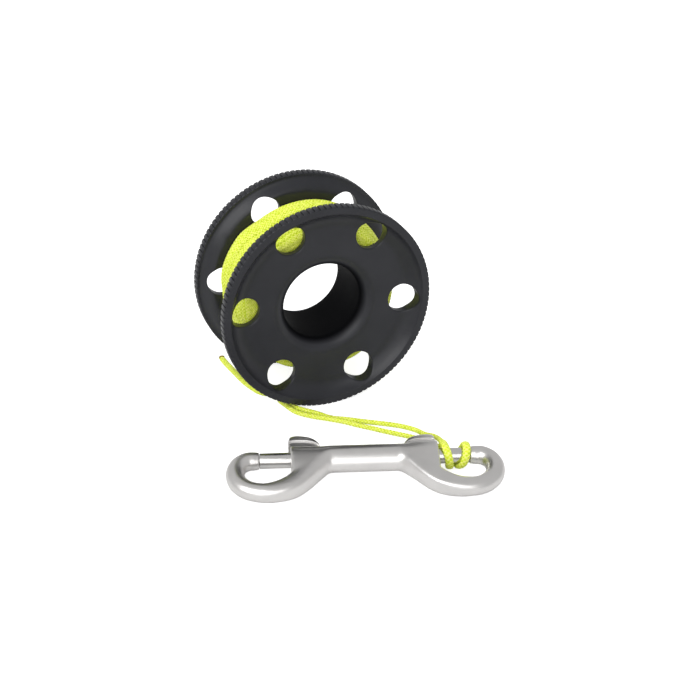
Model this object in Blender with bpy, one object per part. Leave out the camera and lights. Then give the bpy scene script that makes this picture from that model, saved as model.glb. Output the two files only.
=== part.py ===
"""A finger spool wound with braided line, with a double-ended bolt snap tied to it.

The spool stands on its two knurled rims at the origin, its axis along Y and its front towards -Y.
The line leaves the winding, is knotted under the hub and ends in a loop round the snap's right bolt.
The snap lies on the same floor in front of the spool, resting on its barrel and its two hooks.
All sizes are in metres, with +Z up.
"""

import math

import bmesh
import bpy
import numpy as np
from mathutils import Matrix, Vector

# Clearance between touching pieces, overrun of cutters and the unit of the cord routes
GAP = 0.0003
OVERRUN = 0.002
MILLIMETRE = 0.001

# Spool, measured from its axis (radii) and from its middle plane (along Y)
FLANGE_RADIUS = 0.0400
SPOOL_WIDTH = 0.0383
RIM_WIDTH = 0.0041
RIM_EDGE = 0.0003
TOOTH_COUNT = 118
TOOTH_DEPTH = 0.0005
SLOT_SHARE = 0.32
RIM_RING = 0.0028
DISH_DEPTH = 0.00415
DISH_WIDTH_SHARE = 0.3956
WEB_THICKNESS = 0.0031
SWELL_INSET = 0.0006
SWELL_WIDTH = 0.0054
BORE_RADIUS = 0.01485
BORE_LIP = 0.0049
HUB_RADIUS = 0.0190
HUB_FILLET = 0.0010
HOLE_COUNT = 6
HOLE_RADIUS_SHARE = 0.3077
HOLE_PITCH_SHARE = 0.6505
HOLE_PHASE = math.radians(-5.24)
SPOOL_SEGMENTS = 60
HOLE_SEGMENTS = 24

# Line and its winding, highest a little behind the middle; how far it fills the spool in shares
LINE_DIAMETER = 0.0019
WINDING_TURNS = 9
WINDING_LOOP_POINTS = 24
WINDING_SIDE_GAP = 0.0004
WINDING_FRONT_SHARE = 0.5275
WINDING_CREST_SHARE = 0.7143
WINDING_BACK_SHARE = 0.6703
WINDING_SKEW_SHARE = 0.34
WINDING_POWER = 1.5
WINDING_SWELL = 0.0010
WINDING_SWELL_SHARES = (
    (0, -0.2, -0.3, 0.2, 0.25, 0.15, 0, 1.35, 1.4)
    + (0.5, -0.34, 0.3, 0.2, -0.3, 0.7, 1.4, 0.7, -0.1)
)
WINDING_END_ANGLE = math.radians(190)
WINDING_END_STRAIGHT = 0.0155
CORE_SEGMENTS = 48
CORE_SHARES = (1, 0.7, 0.4, 0, -WINDING_SKEW_SHARE, -0.7, -1)

# Snap, measured from the middle of its barrel along its own length
SNAP_X = -0.00455
SNAP_Y = -0.0640
SNAP_YAW = math.radians(-18.8)
BARREL_RADIUS = 0.00475
BARREL_PLAIN_HALF = 0.0120
BLOCK_END = 0.0256
BLOCK_EDGE = 0.0006
ROOT_DEPTH = 0.0055
HOOK_RADIUS = 0.00325
HOOK_ROOT_RADIUS = 0.0039
HOOK_DROP = 0.0167
HOOK_REACH = 0.0447
HOOK_TIP = 0.0365
BOLT_RADIUS = 0.00270
BOLT_LENGTH = 0.0184
BOLT_TIP_GAP = 0.0001
BOLT_EDGE = 0.0003
BOLT_CLEARANCE = 0.00015
BOLT_TRAVEL = 0.0106
BORE_FLOOR = 0.0030
SLOT_WIDTH = 0.0034
STUD_LENGTH = 0.0111
STUD_HEIGHT = 0.0062
STUD_THICKNESS = 0.0048
STUD_ROUNDING = 0.0018
STUD_CLEARANCE = 0.0005
STUD_OVERHANGS = {"right": -0.0003, "left": 0.0008}
STUD_ROLLS = {"right": math.radians(-3.5), "left": math.radians(-1.5)}
STUD_STEM_RADIUS = 0.0012
STUD_STEM_DEPTH = 0.0018
SPRING_WIRE = 0.0005
SPRING_RADIUS = 0.0021
SPRING_CURLS = 7
SPRING_CURL_POINTS = 8
BARREL_SEGMENTS = 28
HOOK_SEGMENTS = 12
HOOK_STEPS = 2
BOLT_SEGMENTS = 24

# Shape of a snap block from the plain barrel to its end face: place, depth and squareness
BLOCK_PLACE_SHARES = (0, 0.12, 0.28, 0.5, 0.75)
BLOCK_DEPTH_SHARES = (0, 0.36, 0.74, 0.95, 1)
BLOCK_SQUARE_SHARES = (0, 0.35, 0.75, 1, 1)
ROUND_POWER = 2
SQUARE_POWER = 3.4

# Centre line of a hook: reach beyond the plain barrel, drop, thickness and squareness
HOOK_REACH_SHARES = (0.15, 0.28, 0.42, 0.565, 0.71, 0.855, 0.965, 1, 0.965, 0.885, 0.805, 0.75)
HOOK_DROP_SHARES = (0.20, 0.56, 0.84, 0.97, 1, 0.92, 0.70, 0.41, 0.16, 0.02, 0, 0)
HOOK_SIZE_SHARES = (1, 1, 0.65, 0.2, 0, 0, 0, 0, 0, 0, -0.15, -0.5)
HOOK_SQUARE_SHARES = (1, 1, 0.8, 0.4, 0.1, 0, 0, 0, 0, 0, 0, 0)

# Outline of a thumb stud: share of its length from its outer face, and of its height
STUD_OUTLINE_SHARES = (
    (0, 0),
    (0, 0.5),
    (0.03, 0.77),
    (0.11, 0.94),
    (0.25, 1),
    (0.42, 0.97),
    (0.62, 0.87),
    (0.82, 0.68),
    (0.96, 0.38),
    (1, 0),
)

# Knot, an egg with ridges where the line wraps round it
KNOT_PLACE = (-0.0165, -0.0086, 0.00285)
KNOT_HALF_SIZES = (0.0031, 0.0027, 0.0026)
KNOT_RIDGE_SHARE = 0.12
KNOT_RIDGES = 3
KNOT_SEGMENTS = 18
KNOT_RINGS = 12

# Free line: how finely its curves are cut, and their centre lines in world millimetres
ROUTE_STEPS = 50
ROUTE_BULGE_SHARE = 0.08
ROUTE_REACH_SHARE = 3
ROUTE_APART_SHARE = 4
LEAD_ROUTE = (
    (-24.57, -10.55, 19.63),
    (-24.2, -10.55, 17.5),
    (-23.9, -10.5, 14.5),
    (-23.5, -10.4, 11.5),
    (-22.7, -10.0, 8.7),
    (-21.2, -9.4, 6.4),
    (-19.6, -8.9, 4.9),
)
TAIL_ROUTE = (
    (-19.6, -6.6, 1.6),
    (-21.4, -4.6, 1.1),
    (-23.0, -2.2, 0.96),
    (-24.1, 0.6, 0.96),
    (-25.3, 5.0, 0.96),
    (-26.2, 10.0, 0.96),
    (-26.9, 15.0, 0.96),
    (-27.6, 20.0, 0.96),
    (-28.1, 24.0, 0.96),
    (-28.4, 27.4, 1.0),
)
LOOP_ROUTE = (
    (-15.2, -11.7, 1.5),
    (-14.4, -14.4, 1.0),
    (-13.9, -16.6, 0.96),
    (-13.2, -18.7, 0.96),
    (-12.0, -20.2, 0.96),
    (-9.6, -22.8, 0.96),
    (-7.5, -25.0, 0.96),
    (-3.9, -29.7, 0.96),
    (1.1, -32.9, 0.96),
    (5.8, -36.2, 0.96),
    (10.0, -39.0, 0.96),
    (14.3, -41.9, 0.96),
    (18.2, -45.0, 0.97),
    (21.7, -49.0, 1.0),
    (23.1, -53.9, 1.8),
    (24.3, -58.1, 3.3),
    (24.5, -61.8, 4.6),
    (23.7, -65.2, 6.1),
    (22.9, -68.6, 7.6),
    (22.2, -71.7, 8.5),
    (21.8, -73.9, 8.5),
    (21.7, -76.0, 7.1),
    (21.9, -76.9, 4.8),
    (22.4, -76.2, 2.3),
    (23.0, -74.9, 1.2),
    (23.7, -73.2, 0.96),
    (24.5, -71.8, 1.2),
    (25.4, -70.6, 2.3),
    (26.8, -70.5, 3.5),
    (28.4, -70.9, 3.9),
    (29.6, -71.3, 5.3),
    (29.7, -72.6, 7.5),
    (29.1, -74.8, 8.6),
    (28.2, -77.2, 8.0),
    (27.3, -78.6, 6.1),
    (26.5, -78.3, 3.4),
    (26.1, -76.5, 1.5),
    (26.1, -75.3, 1.0),
    (26.5, -73.6, 0.96),
    (26.9, -72.1, 0.96),
    (27.3, -69.0, 0.96),
    (26.7, -65.7, 0.96),
    (24.9, -61.9, 0.96),
    (22.6, -58.1, 0.96),
    (20.3, -54.9, 0.96),
    (18.1, -52.2, 0.96),
    (14.8, -49.2, 0.96),
    (10.7, -45.3, 0.96),
    (7.2, -41.8, 0.96),
    (3.6, -38.4, 1.0),
    (-0.7, -34.7, 1.4),
    (-5.4, -31.4, 1.75),
    (-9.6, -27.1, 1.2),
    (-13.2, -23.1, 0.96),
    (-15.0, -20.3, 0.96),
    (-15.9, -17.6, 0.96),
    (-16.5, -15.3, 0.96),
    (-17.2, -13.3, 1.1),
    (-17.9, -11.8, 1.5),
)

HALF_WIDTH = SPOOL_WIDTH / 2
DISH_RADIUS = FLANGE_RADIUS - RIM_RING
SWELL_RADIUS = FLANGE_RADIUS - SWELL_INSET
FACE_RING = DISH_RADIUS - HUB_RADIUS
DISH_WIDTH = DISH_WIDTH_SHARE * FACE_RING
HOLE_RADIUS = HOLE_RADIUS_SHARE * FACE_RING
HOLE_PITCH_RADIUS = HUB_RADIUS + HOLE_PITCH_SHARE * FACE_RING
WINDING_FRONT_RADIUS = HUB_RADIUS + WINDING_FRONT_SHARE * FACE_RING
WINDING_CREST_RADIUS = HUB_RADIUS + WINDING_CREST_SHARE * FACE_RING
WINDING_BACK_RADIUS = HUB_RADIUS + WINDING_BACK_SHARE * FACE_RING
DISH_PLANE = HALF_WIDTH - DISH_DEPTH
WEB_PLANE = DISH_PLANE - WEB_THICKNESS
RIM_PLANE = HALF_WIDTH - RIM_WIDTH
LINE_RADIUS = LINE_DIAMETER / 2
BOLT_BORE_RADIUS = BOLT_RADIUS + BOLT_CLEARANCE
WINDING_HALF = WEB_PLANE - WINDING_SIDE_GAP - LINE_RADIUS
SNAP_TILT = math.asin((BARREL_RADIUS - HOOK_RADIUS) / HOOK_DROP)
STUD_STEM_PLACE = BLOCK_END - OVERRUN - STUD_STEM_RADIUS - GAP
SLOT_INNER = STUD_STEM_PLACE - BOLT_TRAVEL - STUD_STEM_RADIUS - GAP


def clear_scene():
    for obj in list(bpy.data.objects):
        bpy.data.objects.remove(obj, do_unlink=True)


def make_material(name, colour, metallic, roughness):
    material = bpy.data.materials.new(name)
    material.use_nodes = True
    shader = material.node_tree.nodes["Principled BSDF"]
    shader.inputs["Base Color"].default_value = (*colour, 1)
    shader.inputs["Metallic"].default_value = metallic
    shader.inputs["Roughness"].default_value = roughness
    return material


def make_empty(name, place, turn=(0, 0, 0)):
    empty = bpy.data.objects.new(name, None)
    bpy.context.collection.objects.link(empty)
    empty.location = place
    empty.rotation_euler = turn
    return empty


def link_mesh(name, bm, parent, material=None, smooth_angle=math.radians(35)):
    """Turns a bmesh into an object whose faces point outwards."""
    bmesh.ops.recalc_face_normals(bm, faces=bm.faces)
    mesh = bpy.data.meshes.new(name)
    bm.to_mesh(mesh)
    bm.free()
    mesh.shade_smooth()
    mesh.set_sharp_from_angle(angle=smooth_angle)
    obj = bpy.data.objects.new(name, mesh)
    bpy.context.collection.objects.link(obj)
    obj.parent = parent
    if material:
        mesh.materials.append(material)
    return obj


def make_cutter(name, bm, parent):
    cutter = link_mesh(name, bm, parent)
    cutter.hide_render = True
    cutter.display_type = "WIRE"
    return cutter


def cut(obj, cutter, operation="DIFFERENCE"):
    modifier = obj.modifiers.new(cutter.name, "BOOLEAN")
    modifier.operation = operation
    modifier.solver = "EXACT"
    modifier.object = cutter


def make_tube(name, points, diameter, resolution, parent, material):
    """One unbroken tube with closed ends along a list of points."""
    curve = bpy.data.curves.new(name, "CURVE")
    curve.dimensions = "3D"
    curve.bevel_depth = diameter / 2
    curve.bevel_resolution = resolution
    curve.use_fill_caps = True
    spline = curve.splines.new("POLY")
    spline.points.add(len(points) - 1)
    for spot, place in zip(spline.points, points):
        spot.co = (*place, 1)
    curve.materials.append(material)
    obj = bpy.data.objects.new(name, curve)
    bpy.context.collection.objects.link(obj)
    obj.parent = parent
    return obj


def arc(centre, radius, start, end, steps):
    """Points (radius from the axis, place along it) on an arc, its ends included."""
    angles = [math.radians(start + (end - start) * step / steps) for step in range(steps + 1)]
    return [(centre[0] + radius * math.cos(a), centre[1] + radius * math.sin(a)) for a in angles]


def add_ring(bm, angles, radii, place):
    """A ring of corners about the Y axis; place is the distance in front of the middle plane."""
    return [
        bm.verts.new((radius * math.cos(angle), -place, radius * math.sin(angle)))
        for angle, radius in zip(angles, radii)
    ]


def zip_rings(bm, first, second):
    """Joins two closed rings, whose corner counts may differ, with a band of triangles or quads."""
    if len(first) == len(second):
        for i in range(len(first)):
            bm.faces.new((first[i - 1], first[i], second[i], second[i - 1]))
        return
    i = j = 0
    while i < len(first) or j < len(second):
        ahead = (i + 1) / len(first) <= (j + 1) / len(second)
        if ahead and i < len(first):
            corner = first[(i + 1) % len(first)]
            bm.faces.new((first[i % len(first)], corner, second[j % len(second)]))
            i += 1
        else:
            corner = second[(j + 1) % len(second)]
            bm.faces.new((first[i % len(first)], corner, second[j % len(second)]))
            j += 1


def even_angles(count):
    return [2 * math.pi * i / count - math.pi / 2 for i in range(count)]


def turned_rings(bm, profile, segments):
    angles = even_angles(segments)
    return [add_ring(bm, angles, [radius] * segments, place) for radius, place in profile]


def tooth_ring(bm, place):
    """A ring of the knurl: two corners on each tooth and one at the bottom of each slot."""
    pitch = 2 * math.pi / TOOTH_COUNT
    land = (1 - SLOT_SHARE) / 2 * pitch
    angles = []
    radii = []
    for tooth in range(TOOTH_COUNT):
        middle = tooth * pitch - math.pi / 2
        angles += [middle - land, middle + land, middle + pitch / 2]
        radii += [FLANGE_RADIUS, FLANGE_RADIUS, FLANGE_RADIUS - TOOTH_DEPTH]
    return add_ring(bm, angles, radii, place)


def outer_face_profile():
    """The outside of a flange, from the bore to the edge of the rim, dished by a single arc."""
    lip_centre = (BORE_RADIUS + BORE_LIP, DISH_PLANE - BORE_LIP)
    slope = 2 * math.atan(DISH_DEPTH / DISH_WIDTH)
    curve = DISH_WIDTH / math.sin(slope)
    curve_centre = (DISH_RADIUS - DISH_WIDTH, DISH_PLANE + curve)
    profile = arc(lip_centre, BORE_LIP, 180, 90, 4)
    profile += arc(curve_centre, curve, -90, math.degrees(slope) - 90, 5)
    return profile + [(FLANGE_RADIUS - TOOTH_DEPTH, HALF_WIDTH)]


def inner_face_profile(steps=4):
    """The winding's side of a flange, from the edge of the rim to the hub."""
    profile = [(FLANGE_RADIUS - TOOTH_DEPTH, RIM_PLANE)]
    for step in range(steps + 1):
        share = step / steps
        rise = (1 + math.cos(math.pi * share)) / 2
        place = WEB_PLANE + (RIM_PLANE - WEB_PLANE) * rise
        profile.append((SWELL_RADIUS - SWELL_WIDTH * share, place))
    return profile + arc(
        (HUB_RADIUS + HUB_FILLET, WEB_PLANE - HUB_FILLET), HUB_FILLET, 90, 180, 2
    )


def spool_body(parent, material):
    bm = bmesh.new()
    rings = []
    for side in (1, -1):
        outer = turned_rings(bm, [(r, side * s) for r, s in outer_face_profile()], SPOOL_SEGMENTS)
        inner = turned_rings(bm, [(r, side * s) for r, s in inner_face_profile()], SPOOL_SEGMENTS)
        teeth = [
            tooth_ring(bm, side * (HALF_WIDTH - RIM_EDGE)),
            tooth_ring(bm, side * (RIM_PLANE + RIM_EDGE)),
        ]
        rings.append(outer + teeth + inner)
    closed = rings[0] + rings[1][::-1]
    for first, second in zip(closed, closed[1:] + closed[:1]):
        zip_rings(bm, first, second)
    spool = link_mesh("spool_body", bm, parent, material)
    cut(spool, hole_cutter(parent))
    return spool


def hole_cutter(parent):
    """Six long round rods that cut the holes of both flanges in line."""
    bm = bmesh.new()
    for hole in range(HOLE_COUNT):
        angle = HOLE_PHASE + 2 * math.pi * hole / HOLE_COUNT
        place = Vector((math.cos(angle), 0, math.sin(angle))) * HOLE_PITCH_RADIUS
        bmesh.ops.create_cone(
            bm,
            cap_ends=True,
            segments=HOLE_SEGMENTS,
            radius1=HOLE_RADIUS,
            radius2=HOLE_RADIUS,
            depth=SPOOL_WIDTH + 2 * OVERRUN,
            matrix=Matrix.Translation(place) @ Matrix.Rotation(math.pi / 2, 4, "X"),
        )
    return make_cutter("flange_hole_cutter", bm, parent)


def winding_swell(angle):
    """How far the winding swells at an angle: eased from each of its evenly spread shares to the next."""
    count = len(WINDING_SWELL_SHARES)
    spot = angle / (2 * math.pi) * count
    start = math.floor(spot)
    ease = (1 - math.cos(math.pi * (spot - start))) / 2
    low, high = (WINDING_SWELL_SHARES[step % count] for step in (start, start + 1))
    return WINDING_SWELL * (low + (high - low) * ease)


def winding_radius(place, angle):
    """Outside of the winding: two eased slopes along the axis, and a swell that is double at the crest."""
    crest = -WINDING_SKEW_SHARE * WINDING_HALF
    low, end = (WINDING_FRONT_RADIUS, WINDING_HALF)
    if place < crest:
        low, end = (WINDING_BACK_RADIUS, -WINDING_HALF)
    share = min(1, (place - crest) / (end - crest))
    slope = (low - WINDING_CREST_RADIUS) * share**WINDING_POWER
    return WINDING_CREST_RADIUS + slope + winding_swell(angle) * (2 - share)


def least_gap(points, diameter, apart):
    """Least surface gap between stretches of a tube that lie further apart than a length along it."""
    points = np.asarray(points)
    steps = np.linspace(0, 1, 5)[:-1, None]
    fine = np.concatenate([a + (b - a) * steps for a, b in zip(points, points[1:])])
    gaps = np.linalg.norm(fine[:, None] - fine[None], axis=2)
    along = np.append(0, np.cumsum(np.linalg.norm(np.diff(fine, axis=0), axis=1)))
    near = np.abs(along[:, None] - along[None]) < apart
    return float(np.where(near, np.inf, gaps).min()) - diameter


def winding_points():
    """The outer layer of turns, back to front; its last end runs straight, clear of the turns."""
    count = WINDING_TURNS * WINDING_LOOP_POINTS
    points = []
    for step in range(count + 1):
        place = WINDING_HALF * (2 * step / count - 1)
        angle = WINDING_END_ANGLE + 2 * math.pi * (step - count) / WINDING_LOOP_POINTS
        radius = winding_radius(place, angle) - LINE_RADIUS
        points.append(Vector((radius * math.cos(angle), -place, radius * math.sin(angle))))
    start, end = (WINDING_END_ANGLE - 2 * math.pi * WINDING_TURNS, WINDING_END_ANGLE)
    start_heading, end_heading = (Vector((-math.sin(a), 0, math.cos(a))) for a in (start, end))
    points.insert(0, points[0] - start_heading * LINE_DIAMETER)
    points.append(points[-1] + end_heading * WINDING_END_STRAIGHT)
    gap = least_gap(points, LINE_DIAMETER, math.pi * HUB_RADIUS)
    print(f"line_winding: least gap between turns {gap / MILLIMETRE:.2f} mm")
    return points


def line_core(parent, material):
    """The wound line under the outer layer, a ring round the hub that follows the winding."""
    shrink = math.cos(math.pi / WINDING_LOOP_POINTS)
    angles = even_angles(CORE_SEGMENTS)
    side = WEB_PLANE - GAP
    inside = [(HUB_RADIUS + GAP, -side + HUB_FILLET), (HUB_RADIUS + GAP, side - HUB_FILLET)]
    inside = [(HUB_RADIUS + HUB_FILLET + GAP, -side), *inside]
    inside.append((HUB_RADIUS + HUB_FILLET + GAP, side))
    bm = bmesh.new()
    rings = turned_rings(bm, inside, CORE_SEGMENTS)
    for share in CORE_SHARES:
        radii = []
        for angle in angles:
            middle = (winding_radius(share * side, angle) - LINE_RADIUS) * shrink
            radii.append(middle - LINE_RADIUS - 2 * GAP)
        rings.append(add_ring(bm, angles, radii, share * side))
    for first, second in zip(rings, rings[1:] + rings[:1]):
        zip_rings(bm, first, second)
    return link_mesh("line_core", bm, parent, material)


def smooth_curve(places, steps):
    """Places and headings of a cubic curve through each place, so many steps to a stretch."""
    places = np.asarray(places, float)
    ends = (2 * places[0] - places[1], 2 * places[-1] - places[-2])
    padded = np.vstack([ends[0], places, ends[1]])
    share = np.arange(steps)[:, None] / steps
    curve = []
    headings = []
    for p0, p1, p2, p3 in zip(padded, padded[1:], padded[2:], padded[3:]):
        bend = 2 * p0 - 5 * p1 + 4 * p2 - p3
        twist = 3 * (p1 - p2) + p3 - p0
        curve.append(p1 + (share * (p2 - p0) + share**2 * bend + share**3 * twist) / 2)
        headings.append(p2 - p0 + 2 * share * bend + 3 * share**2 * twist)
    curve = np.vstack([*curve, places[-1:]])
    headings = np.vstack([*headings, places[-1:] - places[-2:-1]])
    return curve, headings / np.linalg.norm(headings, axis=1)[:, None]


def smooth_route(route):
    """A smooth curve through the route's points, thinned where it runs straight."""
    fine, _ = smooth_curve(np.array(route) * MILLIMETRE, ROUTE_STEPS)
    fine[:, 2] = np.maximum(fine[:, 2], LINE_RADIUS)
    kept = [0]
    for last in range(2, len(fine)):
        chord = fine[last] - fine[kept[-1]]
        length = np.linalg.norm(chord)
        offset = fine[kept[-1] + 1 : last] - fine[kept[-1]]
        bulge = np.linalg.norm(np.cross(offset, chord / length), axis=1).max()
        if bulge > ROUTE_BULGE_SHARE * LINE_RADIUS or length > ROUTE_REACH_SHARE * LINE_DIAMETER:
            kept.append(last - 1)
    return [Vector(place) for place in fine[kept + [len(fine) - 1]]]


def free_line(name, route, parent, material):
    points = smooth_route(route)
    make_tube(name, points, LINE_DIAMETER, 2, parent, material)
    length = sum((b - a).length for a, b in zip(points, points[1:]))
    gap = least_gap(points, LINE_DIAMETER, ROUTE_APART_SHARE * LINE_DIAMETER)
    print(f"{name}: {len(points)} points, {length / MILLIMETRE:.1f} mm, gap {gap / MILLIMETRE:.2f}")


def line_knot(parent, material):
    bm = bmesh.new()
    bmesh.ops.create_uvsphere(bm, u_segments=KNOT_SEGMENTS, v_segments=KNOT_RINGS, radius=1)
    for vert in bm.verts:
        turn = math.atan2(vert.co.y, vert.co.z)
        ridge = math.cos(KNOT_RIDGES * math.pi * vert.co.x + turn)
        size = 1 - KNOT_RIDGE_SHARE * (1 - ridge) / 2
        vert.co = Vector(s * c * size for s, c in zip(KNOT_HALF_SIZES, vert.co))
    knot = link_mesh("line_knot", bm, parent, material, math.pi)
    knot.location = KNOT_PLACE
    return knot


def half_thickness(y):
    """Half the snap's thickness at a distance across it, so that its underside lies on the floor."""
    return (BARREL_RADIUS + min(y, 0) * math.sin(SNAP_TILT)) / math.cos(SNAP_TILT)


def rounded_square(angle, power):
    """Shares across and up of a corner of a unit shape, from round (power 2) towards square."""
    across, up = (math.cos(angle), math.sin(angle))
    return (
        math.copysign(abs(across) ** (2 / power), across),
        math.copysign(abs(up) ** (2 / power), up),
    )


def barrel_section(bm, x, depth, power, inset=0):
    """A ring round the barrel's axis, from round (power 2) to square with rounded corners."""
    top = BARREL_RADIUS - inset
    low = -BARREL_RADIUS - depth + inset
    middle = (top + low) / 2
    half = (top - low) / 2
    corners = []
    for angle in even_angles(BARREL_SEGMENTS):
        across, up = rounded_square(angle, power)
        y = middle + half * across
        thick = min(half_thickness(y), BARREL_RADIUS) - inset
        corners.append(bm.verts.new((x, y, thick * up)))
    return corners


def barrel_mesh():
    """The barrel and the two blocks that carry the hooks, as one skin."""
    bm = bmesh.new()
    half = []
    for place, depth, square in zip(BLOCK_PLACE_SHARES, BLOCK_DEPTH_SHARES, BLOCK_SQUARE_SHARES):
        x = BARREL_PLAIN_HALF + place * (BLOCK_END - BARREL_PLAIN_HALF)
        power = ROUND_POWER + square * (SQUARE_POWER - ROUND_POWER)
        half.append((x, depth * ROOT_DEPTH, power, 0))
    half.append((BLOCK_END - BLOCK_EDGE, ROOT_DEPTH, SQUARE_POWER, 0))
    half.append((BLOCK_END, ROOT_DEPTH, SQUARE_POWER, BLOCK_EDGE))
    stations = [(-x, *rest) for x, *rest in half[::-1]] + half
    rings = [barrel_section(bm, *station) for station in stations]
    for first, second in zip(rings, rings[1:]):
        zip_rings(bm, first, second)
    bm.faces.new(rings[0])
    bm.faces.new(rings[-1])
    return bm


def hook_mesh():
    """A hook as a tapering bar, square at its root, swept from inside its block to the mouth."""
    reach = HOOK_REACH - BARREL_PLAIN_HALF
    centres = []
    sizes = []
    for along, drop, share in zip(HOOK_REACH_SHARES, HOOK_DROP_SHARES, HOOK_SIZE_SHARES):
        grown = HOOK_ROOT_RADIUS if share > 0 else 2 * HOOK_RADIUS - BOLT_RADIUS
        centres.append((BARREL_PLAIN_HALF + along * reach, -drop * HOOK_DROP, 0))
        sizes.append(HOOK_RADIUS + share * (grown - HOOK_RADIUS))
    centres[-1] = (HOOK_TIP, 0, 0)
    sizes[-1] = BOLT_RADIUS
    places, headings = smooth_curve(centres, HOOK_STEPS)
    steps = np.arange(len(places)) / HOOK_STEPS
    stations = np.arange(len(centres))
    sizes = np.interp(steps, stations, sizes)
    squares = np.interp(steps, stations, HOOK_SQUARE_SHARES)
    bm = bmesh.new()
    rings = []
    for place, heading, size, square in zip(places, headings, sizes, squares):
        thick = min(size, half_thickness(place[1]) * math.cos(SNAP_TILT) ** 2)
        power = ROUND_POWER + square * (SQUARE_POWER - ROUND_POWER)
        side = np.array((-heading[1], heading[0], 0))
        ring = []
        for angle in even_angles(HOOK_SEGMENTS):
            across, up = rounded_square(angle, power)
            ring.append(bm.verts.new(place + side * size * across + np.array((0, 0, thick * up))))
        rings.append(ring)
    for first, second in zip(rings, rings[1:]):
        zip_rings(bm, first, second)
    bm.faces.new(rings[0])
    bm.faces.new(rings[-1])
    return bm


def rod(radius, start, end, segments):
    """A round rod along X between two places."""
    bm = bmesh.new()
    middle = Matrix.Translation(((start + end) / 2, 0, 0))
    bmesh.ops.create_cone(
        bm,
        cap_ends=True,
        segments=segments,
        radius1=radius,
        radius2=radius,
        depth=end - start,
        matrix=middle @ Matrix.Rotation(math.pi / 2, 4, "Y"),
    )
    return bm


def turn_round(obj, side, roll=0):
    """Pieces of the left half are the right ones turned half round about the snap's Y axis."""
    obj.rotation_euler = (side * roll, math.pi if side < 0 else 0, 0)
    return obj


def slot_mesh():
    """The slot that the stud's stem runs in: a box with round ends, from the bore outwards."""
    outer = STUD_STEM_PLACE + STUD_STEM_RADIUS + GAP
    centres = (SLOT_INNER + SLOT_WIDTH / 2, outer - SLOT_WIDTH / 2)
    bm = bmesh.new()
    outline = []
    for centre, start in ((centres[1], -90), (centres[0], 90)):
        for x, z in arc((centre, 0), SLOT_WIDTH / 2, start, start + 180, 6):
            outline.append(bm.verts.new((x, 0, z)))
    face = bm.faces.new(outline)
    grown = bmesh.ops.extrude_face_region(bm, geom=[face])
    moved = [item for item in grown["geom"] if isinstance(item, bmesh.types.BMVert)]
    bmesh.ops.translate(bm, verts=moved, vec=(0, BARREL_RADIUS + OVERRUN, 0))
    return bm


def snap_body(parent, material):
    body = link_mesh("snap_body", barrel_mesh(), parent, material)
    for side in (1, -1):
        hook = turn_round(make_cutter("hook_form", hook_mesh(), parent), side)
        cut(body, hook, "UNION")
    for side in (1, -1):
        bore = rod(BOLT_BORE_RADIUS, BORE_FLOOR, BLOCK_END + OVERRUN, BOLT_SEGMENTS)
        cut(body, turn_round(make_cutter("bolt_bore_cutter", bore, parent), side))
        cut(body, turn_round(make_cutter("stud_slot_cutter", slot_mesh(), parent), side))
    return body


def add_bevel(obj, width, segments=1, angle=math.radians(40)):
    modifier = obj.modifiers.new("edges", "BEVEL")
    modifier.width = width
    modifier.segments = segments
    modifier.limit_method = "ANGLE"
    modifier.angle_limit = angle
    modifier.use_clamp_overlap = True


def stem_rod(radius, start, end):
    """A round rod across the snap at the stud's place."""
    bm = rod(radius, start, end, BOLT_SEGMENTS // 2)
    turn = Matrix.Rotation(math.pi / 2, 4, "Z")
    bmesh.ops.transform(bm, matrix=Matrix.Translation((STUD_STEM_PLACE, 0, 0)) @ turn, verts=bm.verts)
    return bm


def sliding_bolt(hand, side, parent, material):
    end = HOOK_TIP - BOLT_TIP_GAP
    bar = rod(BOLT_RADIUS, end - BOLT_LENGTH, end, BOLT_SEGMENTS)
    bolt = link_mesh(hand + "_bolt", bar, parent, material)
    add_bevel(bolt, BOLT_EDGE)
    foot = BOLT_RADIUS - STUD_STEM_DEPTH
    socket = stem_rod(STUD_STEM_RADIUS + GAP, foot - GAP, BOLT_RADIUS + OVERRUN)
    cutter = make_cutter(hand + "_stud_socket_cutter", socket, parent)
    cut(bolt, turn_round(cutter, side, STUD_ROLLS[hand]))
    return turn_round(bolt, side, STUD_ROLLS[hand])


def thumb_stud(hand, side, parent, material):
    """A rounded fin outside the slot, with a stem that reaches into the bolt."""
    base = BARREL_RADIUS + STUD_CLEARANCE
    bm = bmesh.new()
    outline = []
    for along, up in STUD_OUTLINE_SHARES:
        x = BLOCK_END + STUD_OVERHANGS[hand] - along * STUD_LENGTH
        outline.append(bm.verts.new((x, base + up * STUD_HEIGHT, -STUD_THICKNESS / 2)))
    face = bm.faces.new(outline)
    grown = bmesh.ops.extrude_face_region(bm, geom=[face])
    moved = [item for item in grown["geom"] if isinstance(item, bmesh.types.BMVert)]
    bmesh.ops.translate(bm, verts=moved, vec=(0, 0, STUD_THICKNESS))
    stud = link_mesh(hand + "_thumb_stud", bm, parent, material)
    add_bevel(stud, STUD_ROUNDING, 3)
    stem = stem_rod(STUD_STEM_RADIUS, BOLT_RADIUS - STUD_STEM_DEPTH, base + STUD_HEIGHT / 2)
    form = make_cutter(hand + "_stud_stem_form", stem, parent)
    cut(stud, turn_round(form, side, STUD_ROLLS[hand]), "UNION")
    return turn_round(stud, side, STUD_ROLLS[hand])


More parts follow.
